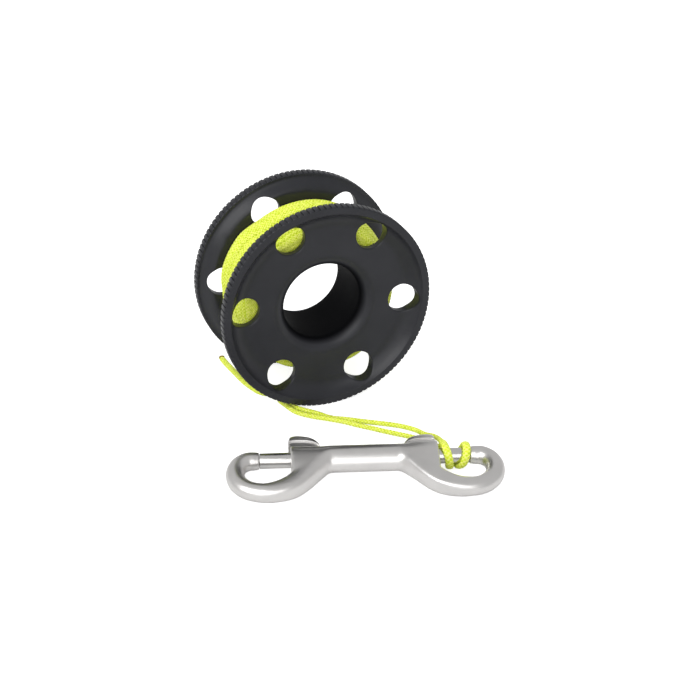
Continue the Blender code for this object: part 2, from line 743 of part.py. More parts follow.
def spring_points():
    """A compression spring between the bore's floor and the bolt, its ends closed flat."""
    start = BORE_FLOOR + GAP + SPRING_WIRE / 2
    end = HOOK_TIP - BOLT_TIP_GAP - BOLT_LENGTH - GAP - SPRING_WIRE / 2
    count = SPRING_CURLS * SPRING_CURL_POINTS
    points = []
    for step in range(count + 1):
        angle = 2 * math.pi * step / SPRING_CURL_POINTS
        x = start + (end - start) * step / count
        points.append(
            Vector((x, SPRING_RADIUS * math.cos(angle), SPRING_RADIUS * math.sin(angle)))
        )
    gap = least_gap(points, SPRING_WIRE, math.pi * SPRING_RADIUS)
    print(f"return spring: least gap between curls {gap / MILLIMETRE:.2f} mm")
    return points


def build():
    clear_scene()
    black = make_material("black_plastic", (0.032, 0.032, 0.034), 0, 0.42)
    green = make_material("line_green", (0.62, 0.83, 0.03), 0, 0.7)
    steel = make_material("satin_steel", (0.58, 0.57, 0.55), 1, 0.3)
    wire = make_material("spring_steel", (0.45, 0.45, 0.45), 1, 0.35)

    axis = make_empty("spool_axis", (0, 0, FLANGE_RADIUS))
    spool_body(axis, black)
    line_core(axis, green)
    make_tube("line_winding", winding_points(), LINE_DIAMETER, 1, axis, green)

    free_line("line_lead", LEAD_ROUTE, None, green)
    line_knot(None, green)
    free_line("line_loop", LOOP_ROUTE, None, green)
    free_line("line_tail", TAIL_ROUTE, None, green)

    frame = make_empty("snap_frame", (SNAP_X, SNAP_Y, BARREL_RADIUS), (SNAP_TILT, 0, SNAP_YAW))
    snap_body(frame, steel)
    for hand, side in (("right", 1), ("left", -1)):
        sliding_bolt(hand, side, frame, steel)
        thumb_stud(hand, side, frame, steel)
        spring = make_tube(hand + "_spring", spring_points(), SPRING_WIRE, 1, frame, wire)
        turn_round(spring, side)


build()
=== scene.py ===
# %% [markdown]
# # A finger spool of braided line with its double-ended snap
# This lesson dresses them. Most pieces are worked out again as fine surfaces with numpy, and the coarse solid
# is hidden. Nothing is moved: every new piece lies where its solid lies, so the joints still carry it.

# %% Load the measured solids
import math

import bmesh
import bpy
import numpy as np
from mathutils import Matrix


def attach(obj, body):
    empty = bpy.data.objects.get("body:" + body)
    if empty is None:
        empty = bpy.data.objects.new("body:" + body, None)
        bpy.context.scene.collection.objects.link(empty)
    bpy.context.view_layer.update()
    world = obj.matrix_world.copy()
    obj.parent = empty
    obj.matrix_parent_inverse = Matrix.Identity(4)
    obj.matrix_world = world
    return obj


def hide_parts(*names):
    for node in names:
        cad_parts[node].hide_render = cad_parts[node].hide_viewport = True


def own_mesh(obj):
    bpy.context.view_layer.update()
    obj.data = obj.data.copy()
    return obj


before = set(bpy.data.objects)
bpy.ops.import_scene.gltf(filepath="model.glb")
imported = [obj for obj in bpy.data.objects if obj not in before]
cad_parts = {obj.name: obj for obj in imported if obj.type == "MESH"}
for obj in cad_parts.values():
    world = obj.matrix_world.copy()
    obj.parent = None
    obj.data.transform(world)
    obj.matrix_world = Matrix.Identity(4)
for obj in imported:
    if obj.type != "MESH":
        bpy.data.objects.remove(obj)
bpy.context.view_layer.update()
MM = 0.001
print("solids:", ", ".join(sorted(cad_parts)))

# %% [markdown]
# ## Camera
# The photograph looks down on the spool from its front left. The camera stands where the photograph's lens
# stood, found by fitting the rims, the bore and the snap. Its frame is square, so the sensor is fitted
# to the width.

# %% The camera
camera_data = bpy.data.cameras.new("camera")
camera_data.lens = 67.60
camera_data.sensor_width = 36.0
camera_data.sensor_fit = "HORIZONTAL"
camera_data.clip_start = 0.01
camera = bpy.data.objects.new("camera", camera_data)
camera.location = (-0.150095, -0.413597, 0.262577)
camera.rotation_euler = (math.radians(60.449), 0, math.radians(-21.838))
bpy.context.collection.objects.link(camera)
bpy.context.scene.camera = camera
bpy.context.scene.view_settings.view_transform = "Standard"
print("camera at", tuple(round(value, 3) for value in camera.location))

# %% [markdown]
# ## Surfaces from numbers
# Each surface below is a grid: rows along one parameter, columns along the other. A closed grid joins its last
# line to its first. Keeping the corners as one array lets numpy work out every point in one expression.

# %% Grids, pieces and welds
CRISP_ANGLE = 40
SOFT_ANGLE = 80


def full_turn(steps):
    """Angles spread evenly over one turn."""
    return 2 * np.pi * np.arange(steps) / steps


def grid_faces(rows, columns, close_rows=False, close_columns=False):
    """The corners of each cell of a grid, row by row; a closed direction wraps round to its first line."""
    row = np.arange(rows if close_rows else rows - 1)[:, None]
    column = np.arange(columns if close_columns else columns - 1)[None]
    next_row, next_column = (row + 1) % rows, (column + 1) % columns
    corners = [row * columns + column, row * columns + next_column,
               next_row * columns + next_column, next_row * columns + column]
    return np.stack(corners, -1).reshape(-1, 4)


def closed_rings(rings):
    """The points and faces of a run of rings, its first and last ring closed by one face each."""
    rows, around = rings.shape[:2]
    caps = [np.arange(around)[::-1], (rows - 1) * around + np.arange(around)]
    return rings.reshape(-1, 3), list(grid_faces(rows, around, close_columns=True)) + caps


def make_piece(name, points, faces, smooth_angle=CRISP_ANGLE):
    """An object at the origin with these points and faces, smooth but for edges sharper than the angle."""
    mesh = bpy.data.meshes.new(name)
    mesh.from_pydata(np.asarray(points).reshape(-1, 3), [], [list(map(int, face)) for face in faces])
    mesh.shade_smooth()
    mesh.set_sharp_from_angle(angle=math.radians(smooth_angle))
    piece = bpy.data.objects.new(name, mesh)
    bpy.context.collection.objects.link(piece)
    return piece


def weld(piece, distance=2e-6, smooth_angle=CRISP_ANGLE):
    """Merges the doubled points where patches meet, then turns every face outwards."""
    work = bmesh.new()
    work.from_mesh(piece.data)
    bmesh.ops.remove_doubles(work, verts=work.verts, dist=distance)
    bmesh.ops.recalc_face_normals(work, faces=work.faces)
    open_edges = sum(not edge.is_manifold for edge in work.edges)
    work.to_mesh(piece.data)
    work.free()
    piece.data.set_sharp_from_angle(angle=math.radians(smooth_angle))
    print(f"{piece.name}: {len(piece.data.polygons)} faces, {open_edges} open edges")
    return piece


def join_patches(name, patches, **options):
    """One welded piece from patches, each a pair of points and faces that count from its own first point."""
    counts = np.cumsum([0] + [len(points) for points, faces in patches])
    faces = [np.asarray(face) + start for (_, patch), start in zip(patches, counts) for face in patch]
    return weld(make_piece(name, np.vstack([points for points, _ in patches]), faces), **options)


# %% [markdown]
# ## The spool
# The real spool is one piece of black acetal, turned and drilled: two dished flanges with knurled rims on a
# hollow hub.
# A modifier could spin the profile and a Boolean could drill it, but their edges are hard to round evenly.
# So the flange is laid out with rings where it is plain, and round each hole a patch whose lines run out
# from the hole like spokes, so that the hole's edge can be rounded as a cutter leaves it.

# %% Sizes of the spool, in metres
AXIS_HEIGHT = 0.0400
HALF_WIDTH = 0.01915
DISH_PLANE = 0.0150
WEB_PLANE = 0.0119
RIM_PLANE = 0.01505
BORE_RADIUS = 0.01485
BORE_MIDDLE_RING = 0.0050
BORE_LIP = 0.0049
LEVEL_RING = 0.0208
HUB_RADIUS = 0.0190
HUB_FILLET = 0.0010
DISH_START = 0.0300
DISH_CURVE = 0.00832
SWELL_INNER = 0.0340
RIM_MIDDLE_RING = 0.0383
FACE_EDGE = 0.0391
ROOT_RADIUS = 0.0395
TOOTH_DEPTH = 0.0005
TOOTH_CHAMFER = 0.0003
TOOTH_MIDDLE_RING = 0.0171
RIM_ROUNDING = 0.00035
TEETH = 118
TOOTH_COLUMNS = 3
HOLES = 6
HOLE_RADIUS = 0.0056
HOLE_ROUNDING = 0.00042
HOLE_ROUNDING_CHANGE = 0.00014
HOLE_PITCH_RADIUS = 0.03084
HOLE_PHASE = math.radians(-5.24)
PATCH_INNER = 0.0220
PATCH_OUTER = 0.0370
COLUMNS = TOOTH_COLUMNS * TEETH
SECTOR_COLUMNS = COLUMNS // HOLES
SECTOR_START = HOLE_PHASE - math.pi / HOLES


def outer_height(radius):
    """Height of the dished outside: level, then an arc of radius R that climbs by R - sqrt(R^2 - out^2)."""
    out = np.clip(radius - DISH_START, 0, DISH_CURVE)
    return DISH_PLANE + DISH_CURVE - np.sqrt(DISH_CURVE**2 - out**2)


def inner_height(radius):
    """Height of the winding's side: a half wave of a cosine from the web's plane out to the rim's plane."""
    share = np.clip((radius - SWELL_INNER) / (FACE_EDGE - SWELL_INNER), 0, 1)
    return WEB_PLANE + (RIM_PLANE - WEB_PLANE) * (1 - np.cos(np.pi * share)) / 2


def about_axis(radius, angle, height):
    """Places at a radius and an angle about the spool's axis, so far in front of its middle plane."""
    radius, angle, height = np.broadcast_arrays(radius, angle, height)
    return np.stack([radius * np.cos(angle), -height, AXIS_HEIGHT + radius * np.sin(angle)], -1)


def arc(centre, radius, start, end, steps):
    """Points (radius, height) on an arc about a centre, between two angles in degrees."""
    angle = np.radians(np.linspace(start, end, steps + 1))
    return np.stack([centre[0] + radius * np.cos(angle), centre[1] + radius * np.sin(angle)], -1)


# %% Rings of the flange that have no holes
FILLET_MIDDLE = 0.3
ring_angles = SECTOR_START + full_turn(COLUMNS)


def turned_patch(profile, side):
    """A profile of (radius, height) carried once round the axis."""
    profile = np.asarray(profile)
    points = about_axis(profile[:, :1], ring_angles[None], side * profile[:, 1:])
    return points.reshape(-1, 3), grid_faces(len(profile), COLUMNS, close_columns=True)


lip = arc((BORE_RADIUS + BORE_LIP, DISH_PLANE - BORE_LIP), BORE_LIP, 180, 90, 10)
bore_profile = np.vstack([
    [(BORE_RADIUS, 0), (BORE_RADIUS, BORE_MIDDLE_RING)], lip,
    [(LEVEL_RING, DISH_PLANE), (PATCH_INNER, DISH_PLANE)],
])
rim_slope = math.degrees(math.acos(1 - (HALF_WIDTH - DISH_PLANE) / (DISH_CURVE + RIM_ROUNDING)))
patch_slope = math.degrees(math.asin((PATCH_OUTER - DISH_START) / DISH_CURVE))
dish_end = arc((DISH_START, DISH_PLANE + DISH_CURVE), DISH_CURVE, patch_slope - 90, rim_slope - 90, 3)[:-1]
rim_edge_radius = DISH_START + (DISH_CURVE + RIM_ROUNDING) * math.sin(math.radians(rim_slope))
rim_edge = arc((rim_edge_radius, HALF_WIDTH - RIM_ROUNDING), RIM_ROUNDING, 90 + rim_slope, 90, 5)
rim_profile = np.vstack([dish_end, rim_edge, [(RIM_MIDDLE_RING, HALF_WIDTH), (FACE_EDGE, HALF_WIDTH)]])
swell_radii = np.linspace(PATCH_OUTER, FACE_EDGE, 8)
inner_rim_profile = np.stack([swell_radii, inner_height(swell_radii)], -1)
fillet_bend = FILLET_MIDDLE * HUB_FILLET
hub_profile = [
    (PATCH_INNER, WEB_PLANE), (HUB_RADIUS + HUB_FILLET, WEB_PLANE),
    (HUB_RADIUS + fillet_bend, WEB_PLANE - fillet_bend), (HUB_RADIUS, WEB_PLANE - HUB_FILLET), (HUB_RADIUS, 0),
]
spool_patches = []
for side in (1, -1):
    for profile in (bore_profile, rim_profile, inner_rim_profile, hub_profile):
        spool_patches.append(turned_patch(profile, side))

# %% [markdown]
# The knurl is a ring of straight teeth. Each tooth takes nine columns, more than the rings beside it have,
# so the flat face between them is closed with one many-sided face per tooth.

# %% Knurled rims
TOOTH_PHASES = np.array([0, 0.345, 0.365, 0.395, 0.42, 0.58, 0.605, 0.635, 0.655])
TOOTH_HEIGHTS = np.array([1, 1, 0.90, 0.12, 0, 0, 0.12, 0.90, 1])
CHAMFER_SHARES = ((0, 0), (0.45, 0.12), (0.8, 0.45), (1, 1))


def knurl_patch(side):
    """The toothed band: its radius is the root's plus the tooth's height, which fades over the chamfers."""
    fine = len(TOOTH_PHASES)
    turn = (np.arange(TEETH)[:, None] + TOOTH_PHASES).reshape(-1) / TEETH
    angle = SECTOR_START + 2 * np.pi * turn
    tall = np.tile(TOOTH_HEIGHTS, TEETH) * TOOTH_DEPTH
    front = [(grow, HALF_WIDTH - down * TOOTH_CHAMFER) for grow, down in CHAMFER_SHARES]
    back = [(grow, RIM_PLANE + down * TOOTH_CHAMFER) for grow, down in CHAMFER_SHARES[::-1]]
    rows = np.array(front + [(1, TOOTH_MIDDLE_RING)] + back)
    band = about_axis(ROOT_RADIUS + rows[:, :1] * tall, angle[None], side * rows[:, 1:])
    points, faces = [band.reshape(-1, 3)], list(grid_faces(len(rows), len(angle), close_columns=True))
    start = len(rows) * len(angle)
    tooth = np.arange(TEETH)[:, None]
    for row, height in ((0, HALF_WIDTH), (len(rows) - 1, RIM_PLANE)):
        points.append(about_axis(FACE_EDGE, ring_angles, side * height))
        coarse = start + (TOOTH_COLUMNS * tooth + np.arange(TOOTH_COLUMNS + 1)) % COLUMNS
        edge = row * len(angle) + (fine * tooth + np.arange(fine, -1, -1)) % len(angle)
        faces += list(np.hstack([coarse, edge]))
        start += COLUMNS
    return np.vstack(points), faces


for side in (1, -1):
    spool_patches.append(knurl_patch(side))

# %% [markdown]
# Round each hole, spokes run from its edge to the border of a sixth of the flange. Along a spoke the height
# follows the flange's own profile, so the patch lies on the dish. At the hole the surface rolls over
# a quarter circle into the wall: distance from the wall is e (1 - sin a) and the drop is e (1 - cos a).
# The rounding e is a little larger on the side of the hole that faces the bore.

# %% Patches round the six holes
SIDE_ROWS = 12
OUTER_ROWS = 12
INNER_ROWS = 7
ROW_CROWDING = 1.4
EDGE_ANGLES = np.radians(np.linspace(0, 90, 5))


def sector_border():
    """Radius and angle of the corners round a sixth of the flange, as a closed loop."""
    turn = np.linspace(-np.pi / HOLES, np.pi / HOLES, SECTOR_COLUMNS + 1)
    out = np.linspace(PATCH_INNER, PATCH_OUTER, SIDE_ROWS + 1)
    inner_side, outer_side = (np.full(SECTOR_COLUMNS, level) for level in (PATCH_INNER, PATCH_OUTER))
    first_side, last_side = (np.full(SIDE_ROWS, heading) for heading in (turn[0], turn[-1]))
    radius = np.concatenate([inner_side, out[:-1], outer_side, out[:0:-1]])
    angle = np.concatenate([turn[:-1], last_side, turn[:0:-1], first_side])
    return radius, angle


def hole_patch(hole, side):
    """One sixth of a flange, spoke by spoke: outer face, rounded edge, wall, rounded edge and inner face."""
    radius, angle = sector_border()
    spoke = np.stack([radius * np.cos(angle) - HOLE_PITCH_RADIUS, radius * np.sin(angle)], -1)
    reach = np.linalg.norm(spoke, axis=1)
    spoke /= reach[:, None]
    rounding = HOLE_ROUNDING - HOLE_ROUNDING_CHANGE * spoke[:, 0]
    edge = HOLE_RADIUS + rounding
    rows = []

    def add_row(distance, height_of, drop):
        flat = spoke * distance[:, None] + (HOLE_PITCH_RADIUS, 0)
        far = np.linalg.norm(flat, axis=1)
        rows.append(np.stack([far, np.arctan2(flat[:, 1], flat[:, 0]), height_of(far) + drop], -1))

    for share in np.linspace(1, 0, OUTER_ROWS) ** ROW_CROWDING:
        add_row(edge + share * (reach - edge), outer_height, 0)
    for bend in EDGE_ANGLES[1:]:
        add_row(HOLE_RADIUS + rounding * (1 - np.sin(bend)), outer_height, -rounding * (1 - np.cos(bend)))
    for bend in EDGE_ANGLES[:0:-1]:
        add_row(HOLE_RADIUS + rounding * (1 - np.sin(bend)), inner_height, rounding * (1 - np.cos(bend)))
    for share in np.linspace(0, 1, INNER_ROWS) ** ROW_CROWDING:
        add_row(edge + share * (reach - edge), inner_height, 0)
    rows = np.array(rows)
    turned = rows[..., 1] + HOLE_PHASE + hole * 2 * np.pi / HOLES
    points = about_axis(rows[..., 0], turned, side * rows[..., 2])
    return points.reshape(-1, 3), grid_faces(len(rows), rows.shape[1], close_columns=True)


for side in (1, -1):
    for hole in range(HOLES):
        spool_patches.append(hole_patch(hole, side))
spool = join_patches("spool", spool_patches, smooth_angle=42)

# %% [markdown]
# ## Braided line
# The line is a braid of eight strands over a soft core, about 1.9 mm thick. Four strands climb to the right
# and four to the left, each passing over one and under the next.
# A tube carries the braid on its UV map: once round is 1 across, and one turn of a strand is 1 along.

# %% Tubes along a path
LINE_RADIUS = 0.00095
BRAID_PITCH = 0.0052
STRANDS_PER_HAND = 4
BRAID_DEPTH = 0.00016
CROSSING_RISE = 0.28
TUBE_END_SHARE = 0.72
SLANT = (0.3, 0.2, 0.93)


def smooth_path(route, steps=24):
    """A cubic curve through the route's points, each stretch shaped by the points before and after it."""
    places = np.asarray(route, float)
    padded = np.vstack([2 * places[0] - places[1], places, 2 * places[-1] - places[-2]])
    p0, p1, p2, p3 = (padded[i:len(padded) - 3 + i, None] for i in range(4))
    t = np.arange(steps)[None, :, None] / steps
    squared, cubed = 2 * p0 - 5 * p1 + 4 * p2 - p3, 3 * (p1 - p2) + p3 - p0
    curve = p1 + (t * (p2 - p0) + t**2 * squared + t**3 * cubed) / 2
    return np.vstack([curve.reshape(-1, 3), places[-1:]])


def even_steps(path, step):
    """The same path with its points a fixed distance apart, and how far along it each lies."""
    along = np.append(0, np.cumsum(np.linalg.norm(np.diff(path, axis=0), axis=1)))
    marks = np.linspace(0, along[-1], max(2, int(along[-1] / step)) + 1)
    return np.stack([np.interp(marks, along, path[:, axis]) for axis in range(3)], -1), marks


def cross_frames(path):
    """Headings and two crosswise directions: each is the last, made square to the new heading.

    The first is square to a slant that none of the paths starts along.
    """
    heading = np.gradient(path, axis=0)
    heading /= np.linalg.norm(heading, axis=1)[:, None]
    first = np.cross(heading[0], SLANT)
    across = [first / np.linalg.norm(first)]
    for ahead in heading[1:]:
        square = across[-1] - ahead * (across[-1] @ ahead)
        across.append(square / np.linalg.norm(square))
    across = np.array(across)
    return heading, across, np.cross(heading, across)


def braid_relief(turn, along):
    """How proud the braid stands, from 0 to 1: the higher of its right-hand and its left-hand strands.

    A hand's strands stand as high as |cos(pi s)|, with s the strands counted off round the line and along it.
    They rise and sink by the two hands' cosines multiplied, so each strand passes over one and under the next.
    """
    right, left = (np.cos(np.pi * STRANDS_PER_HAND * way) for way in (turn + along, turn - along))
    level, rise = 1 - CROSSING_RISE, CROSSING_RISE * right * left
    return np.maximum(np.abs(right) * (level + rise), np.abs(left) * (level - rise))


def give_braid_map(piece, corners):
    """The braid's UV map: for each corner of each face, how far round the line and how far along it."""
    piece.data.uv_layers.new(name="braid").data.foreach_set("uv", corners.reshape(-1))


def braided_tube(name, path, around, step, relief=True, radius=LINE_RADIUS, press=None):
    """A closed tube along a path; its radius is the line's less the braid's depth where the braid lies low.

    press is a function of the path that gives, for each place, the way in which the line is pressed wider.
    """
    path, along = even_steps(path, step)
    _, across, up = cross_frames(path)
    turn = np.arange(around) / around
    lay = along / BRAID_PITCH
    size = np.full((len(path), around), radius)
    if relief:
        size = radius - BRAID_DEPTH * (1 - braid_relief(turn[None], lay[:, None]))
    size[[0, -1]] *= TUBE_END_SHARE
    angle = full_turn(around)[None, :, None]
    ring = across[:, None] * np.cos(angle) + up[:, None] * np.sin(angle)
    if press:
        wider = press(path)
        ring = ring + (ring * wider[:, None]).sum(-1, keepdims=True) * wider[:, None]
    points, faces = closed_rings(path[:, None] + size[..., None] * ring)
    piece = make_piece(name, points, faces, SOFT_ANGLE)
    row, column = np.divmod(np.arange((len(path) - 1) * around), around)
    side_corners = np.stack([(column[:, None] + (0, 1, 1, 0)) / around, lay[row[:, None] + (0, 0, 1, 1)]], -1)
    end_corners = [np.tile((0.5, end), (around, 1)) for end in (lay[0], lay[-1])]
    give_braid_map(piece, np.vstack([side_corners.reshape(-1, 2), *end_corners]))
    print(f"{name}: {along[-1] / MM:.1f} mm of line, {len(faces)} faces")
    return piece


# %% [markdown]
# ## The winding
# Eleven turns lie side by side as the outer layer, from the back flange to the front one. Their outside is
# highest a little behind the middle and swells here and there, as line does when it is reeled in by hand.
# Under them, one ring with a ridge for each buried turn shows through the gaps and through the flange holes.

# %% Outer layer of the winding
WINDING_GAP = 0.0004
WINDING_HALF = WEB_PLANE - WINDING_GAP - LINE_RADIUS
WINDING_TURNS = 11
WINDING_END = math.radians(190)
WINDING_STRAIGHT = 0.0155
CREST_PLACE = -0.34 * WINDING_HALF
CREST_RADIUS = 0.0320
BACK_RADIUS = 0.0312
FRONT_RADIUS = 0.0286
SLOPE_POWER = 1.5
SWELLS = MM * np.array([
    0, -0.2, -0.3, 0.2, 0.25, 0.15, 0, 1.35, 1.4, 0.5, -0.34, 0.3, 0.2, -0.3, 0.7, 1.4, 0.7, -0.1,
])
DRIFT_WAVES = ((0.00022, 2, 0.5), (0.00012, 3, 1.9))
LIFT = 0.00015
LIFT_WAVES = 1.7
GROOVE_PLACE = 0.0004
GROOVE_SWAY = 0.0006
GROOVE_WIDTH = 0.0008
GROOVE_DEPTH = 0.0007
TURN_STEPS = 120
WOUND_AROUND = 16
WOUND_STEP = 0.00046


def winding_swell(angle):
    """Swell at an angle: half a cosine wave from each of the evenly spread swells to the next."""
    spot = angle / (2 * np.pi) * len(SWELLS)
    start = np.floor(spot).astype(int)
    ease = (1 - np.cos(np.pi * (spot - start))) / 2
    low, high = (SWELLS[step % len(SWELLS)] for step in (start, start + 1))
    return low + (high - low) * ease


def winding_radius(place, angle):
    """Outside of the winding: a slope to each side of its crest, and a swell that is double at the crest."""
    behind = place < CREST_PLACE
    low, end = np.where(behind, BACK_RADIUS, FRONT_RADIUS), np.where(behind, -WINDING_HALF, WINDING_HALF)
    share = np.clip((place - CREST_PLACE) / (end - CREST_PLACE), 0, 1)
    return CREST_RADIUS + (low - CREST_RADIUS) * share**SLOPE_POWER + winding_swell(angle) * (2 - share)


def winding_path():
    """The wound line's middle: a helix from the back flange to the front one, and a straight last stretch.

    Its place drifts by two sine waves of the angle, which die away towards the flanges. Its radius is the
    winding's outside less the line's own radius, with a low sine wave on it, and it sinks by a bell curve
    exp(-d^2) of the distance to a groove that sways from side to side once a turn.
    """
    turn = np.linspace(0, WINDING_TURNS, WINDING_TURNS * TURN_STEPS + 1)
    angle = WINDING_END + 2 * np.pi * (turn - WINDING_TURNS)
    drift = sum(size * np.sin(waves * angle + start) for size, waves, start in DRIFT_WAVES)
    place = WINDING_HALF * (2 * turn / WINDING_TURNS - 1)
    place = place + drift * (1 - (place / WINDING_HALF) ** 4)
    groove = np.exp(-(((place - GROOVE_PLACE - GROOVE_SWAY * np.sin(angle)) / GROOVE_WIDTH) ** 2))
    lift = LIFT * np.sin(LIFT_WAVES * angle)
    wound = about_axis(winding_radius(place, angle) - LINE_RADIUS + lift - GROOVE_DEPTH * groove, angle, place)
    heading = np.array([-math.sin(WINDING_END), 0, math.cos(WINDING_END)])
    return np.vstack([wound, wound[-1] + heading * WINDING_STRAIGHT])


winding = braided_tube("winding", winding_path(), WOUND_AROUND, WOUND_STEP)

# %% Buried turns
CORE_TURNS = 12
SIDE_LAYERS = 6
CORE_COLUMNS = 180
RIDGE_ROWS = 8
SIDE_RIDGE_POWER = 0.7
CORE_HALF = WEB_PLANE - 0.0006
CORE_INNER = HUB_RADIUS + 0.0003
CORE_DEPTH = 0.0008
OUTER_RIDGE = 0.0002
SIDE_RIDGE = 0.0001
CORE_LAYS = 36
RIDGE_TOP_TURN = 0.25


def core_profile():
    """Along the core's outline: share of the way out from the hub, height, side ridge and outer ridge."""
    ridge = np.arange(RIDGE_ROWS) / RIDGE_ROWS
    out = np.concatenate([(layer + ridge) / SIDE_LAYERS for layer in range(SIDE_LAYERS)])
    over = np.concatenate([(step + ridge) / CORE_TURNS for step in range(CORE_TURNS)])
    proud_out = np.abs(np.sin(np.pi * SIDE_LAYERS * out)) ** SIDE_RIDGE_POWER
    proud_over = np.abs(np.sin(np.pi * CORE_TURNS * over))
    front = np.stack([out, np.full(len(out), CORE_HALF), proud_out, np.zeros(len(out))], -1)
    top = np.stack([np.ones(len(over)), CORE_HALF * (1 - 2 * over), np.zeros(len(over)), proud_over], -1)
    back = front[::-1] * (1, -1, 1, 1)
    return np.vstack([front, top, back])


share_out, height, proud_out, proud_over = core_profile().T[..., None]
core_angle = full_turn(CORE_COLUMNS)[None]
outside = winding_radius(np.clip(height, -WINDING_HALF, WINDING_HALF), core_angle) - CORE_DEPTH
core_radius = CORE_INNER + share_out * (outside - CORE_INNER) + OUTER_RIDGE * proud_over
core_points = about_axis(core_radius, core_angle, height + np.sign(height) * SIDE_RIDGE * proud_out)
core_faces = grid_faces(len(height), CORE_COLUMNS, close_rows=True, close_columns=True)
winding_core = make_piece("winding_core", core_points, core_faces, SOFT_ANGLE)
row, column = np.divmod(np.arange(len(core_faces)), CORE_COLUMNS)
core_turn = (row[:, None] + (0, 0, 1, 1)) / (2 * RIDGE_ROWS) + RIDGE_TOP_TURN
core_lay = (column[:, None] + (0, 1, 1, 0)) * (CORE_LAYS / CORE_COLUMNS)
give_braid_map(winding_core, np.stack([core_turn, core_lay], -1))
weld(winding_core, smooth_angle=SOFT_ANGLE)

# %% [markdown]
# ## The free line
# The line leaves the winding at its front left, runs down to a knot on the floor, and its short tail lies
# behind it. Its loop runs from the knot along the floor to the snap, twice round the right bolt, and back.
# The routes are those of the measured solids, in millimetres, point by point.

# %% Routes of the free line
LEAD_ROUTE = [
    (-24.57, -10.55, 19.63), (-24.2, -10.55, 17.5), (-23.9, -10.5, 14.5), (-23.5, -10.4, 11.5),
    (-22.7, -10.0, 8.7), (-21.2, -9.4, 6.4), (-19.6, -8.9, 4.9),
]
KNOT_PASS = [(-17.6, -8.6, 3.5), (-16.9, -7.9, 2.5), (-18.0, -7.3, 2.0)]
TAIL_ROUTE = [
    (-19.6, -6.6, 1.6), (-21.4, -4.6, 1.1), (-23.0, -2.2, 0.96), (-24.1, 0.6, 0.96), (-25.3, 5.0, 0.96),
    (-26.2, 10.0, 0.96), (-26.9, 15.0, 0.96), (-27.6, 20.0, 0.96), (-28.1, 24.0, 0.96), (-28.4, 27.4, 1.0),
]
LOOP_ROUTE = [
    (-15.2, -11.7, 1.5), (-14.4, -14.4, 1.0), (-13.9, -16.6, 0.96), (-13.2, -18.7, 0.96), (-12.0, -20.2, 0.96),
    (-9.6, -22.8, 0.96), (-7.5, -25.0, 0.96), (-3.9, -29.7, 0.96), (1.1, -32.9, 0.96), (5.8, -36.2, 0.96),
    (10.0, -39.0, 0.96), (14.3, -41.9, 0.96), (18.2, -45.0, 0.97), (21.7, -49.0, 1.0), (23.1, -53.9, 1.8),
    (24.3, -58.1, 3.3), (24.5, -61.8, 4.6), (23.7, -65.2, 6.1), (22.9, -68.6, 7.6), (22.2, -71.7, 8.5),
    (21.8, -73.9, 8.5), (21.7, -76.0, 7.1), (21.9, -76.9, 4.8), (22.4, -76.2, 2.3), (23.0, -74.9, 1.2),
    (23.7, -73.2, 0.96), (24.5, -71.8, 1.2), (25.4, -70.6, 2.3), (26.8, -70.5, 3.5), (28.4, -70.9, 3.9),
    (29.6, -71.3, 5.3), (29.7, -72.6, 7.5), (29.1, -74.8, 8.6), (28.2, -77.2, 8.0), (27.3, -78.6, 6.1),
    (26.5, -78.3, 3.4), (26.1, -76.5, 1.5), (26.1, -75.3, 1.0), (26.5, -73.6, 0.96), (26.9, -72.1, 0.96),
    (27.3, -69.0, 0.96), (26.7, -65.7, 0.96), (24.9, -61.9, 0.96), (22.6, -58.1, 0.96), (20.3, -54.9, 0.96),
    (18.1, -52.2, 0.96), (14.8, -49.2, 0.96), (10.7, -45.3, 0.96), (7.2, -41.8, 0.96), (3.6, -38.4, 1.0),
    (-0.7, -34.7, 1.4), (-5.4, -31.4, 1.75), (-9.6, -27.1, 1.2), (-13.2, -23.1, 0.96), (-15.0, -20.3, 0.96),
    (-15.9, -17.6, 0.96), (-16.5, -15.3, 0.96), (-17.2, -13.3, 1.1), (-17.9, -11.8, 1.5),
]


def line_path(route):
    """The route's smooth curve in metres, kept on the floor where it would dip below it."""
    path = smooth_path(np.array(route) * MM)
    path[:, 2] = np.maximum(path[:, 2], LINE_RADIUS)
    return path


lead_path = line_path(LEAD_ROUTE + KNOT_PASS + TAIL_ROUTE)
loop_path = line_path(LOOP_ROUTE)

# %% [markdown]
# A braid over a soft core flattens where it is pulled tight round something, or where its end has come loose.
# The tube's rings are stretched there along a vector w, to 1 + |w|^2 times their width.

# %% The free line as tubes, pressed where it lies flat
FREE_AROUND = 32
FREE_STEP = 0.00017
TAIL_PRESS = 0.60
TAIL_FLAT_START = -0.004
TAIL_FLAT_LENGTH = 0.010
TAIL_SIDEWAYS = np.array((0.99, 0.14, 0))
SNAP_YAW = math.radians(-18.8)
BOLT_HEADING = np.array((math.cos(SNAP_YAW), math.sin(SNAP_YAW), 0))
BOLT_SPOT = np.array((0.0248, -0.0739, 0.0050))
WRAP_PRESS = 0.75
WRAP_REACH = 0.0068
WRAP_EASE = 0.002


def along_the_tail(path):
    """Sideways, and more towards the tail's end, where the braid has come loose and lies flat."""
    flat = np.clip((path[:, 1:2] - TAIL_FLAT_START) / TAIL_FLAT_LENGTH, 0, 1)
    return TAIL_PRESS * flat * TAIL_SIDEWAYS


def round_the_bolt(path):
    """Along the bolt, and longest where the path is near the bolt's axis, where the wraps are pulled tight."""
    away = path - BOLT_SPOT
    away = np.linalg.norm(away - (away @ BOLT_HEADING)[:, None] * BOLT_HEADING, axis=1)
    return WRAP_PRESS * np.clip((WRAP_REACH - away) / WRAP_EASE, 0, 1)[:, None] * BOLT_HEADING


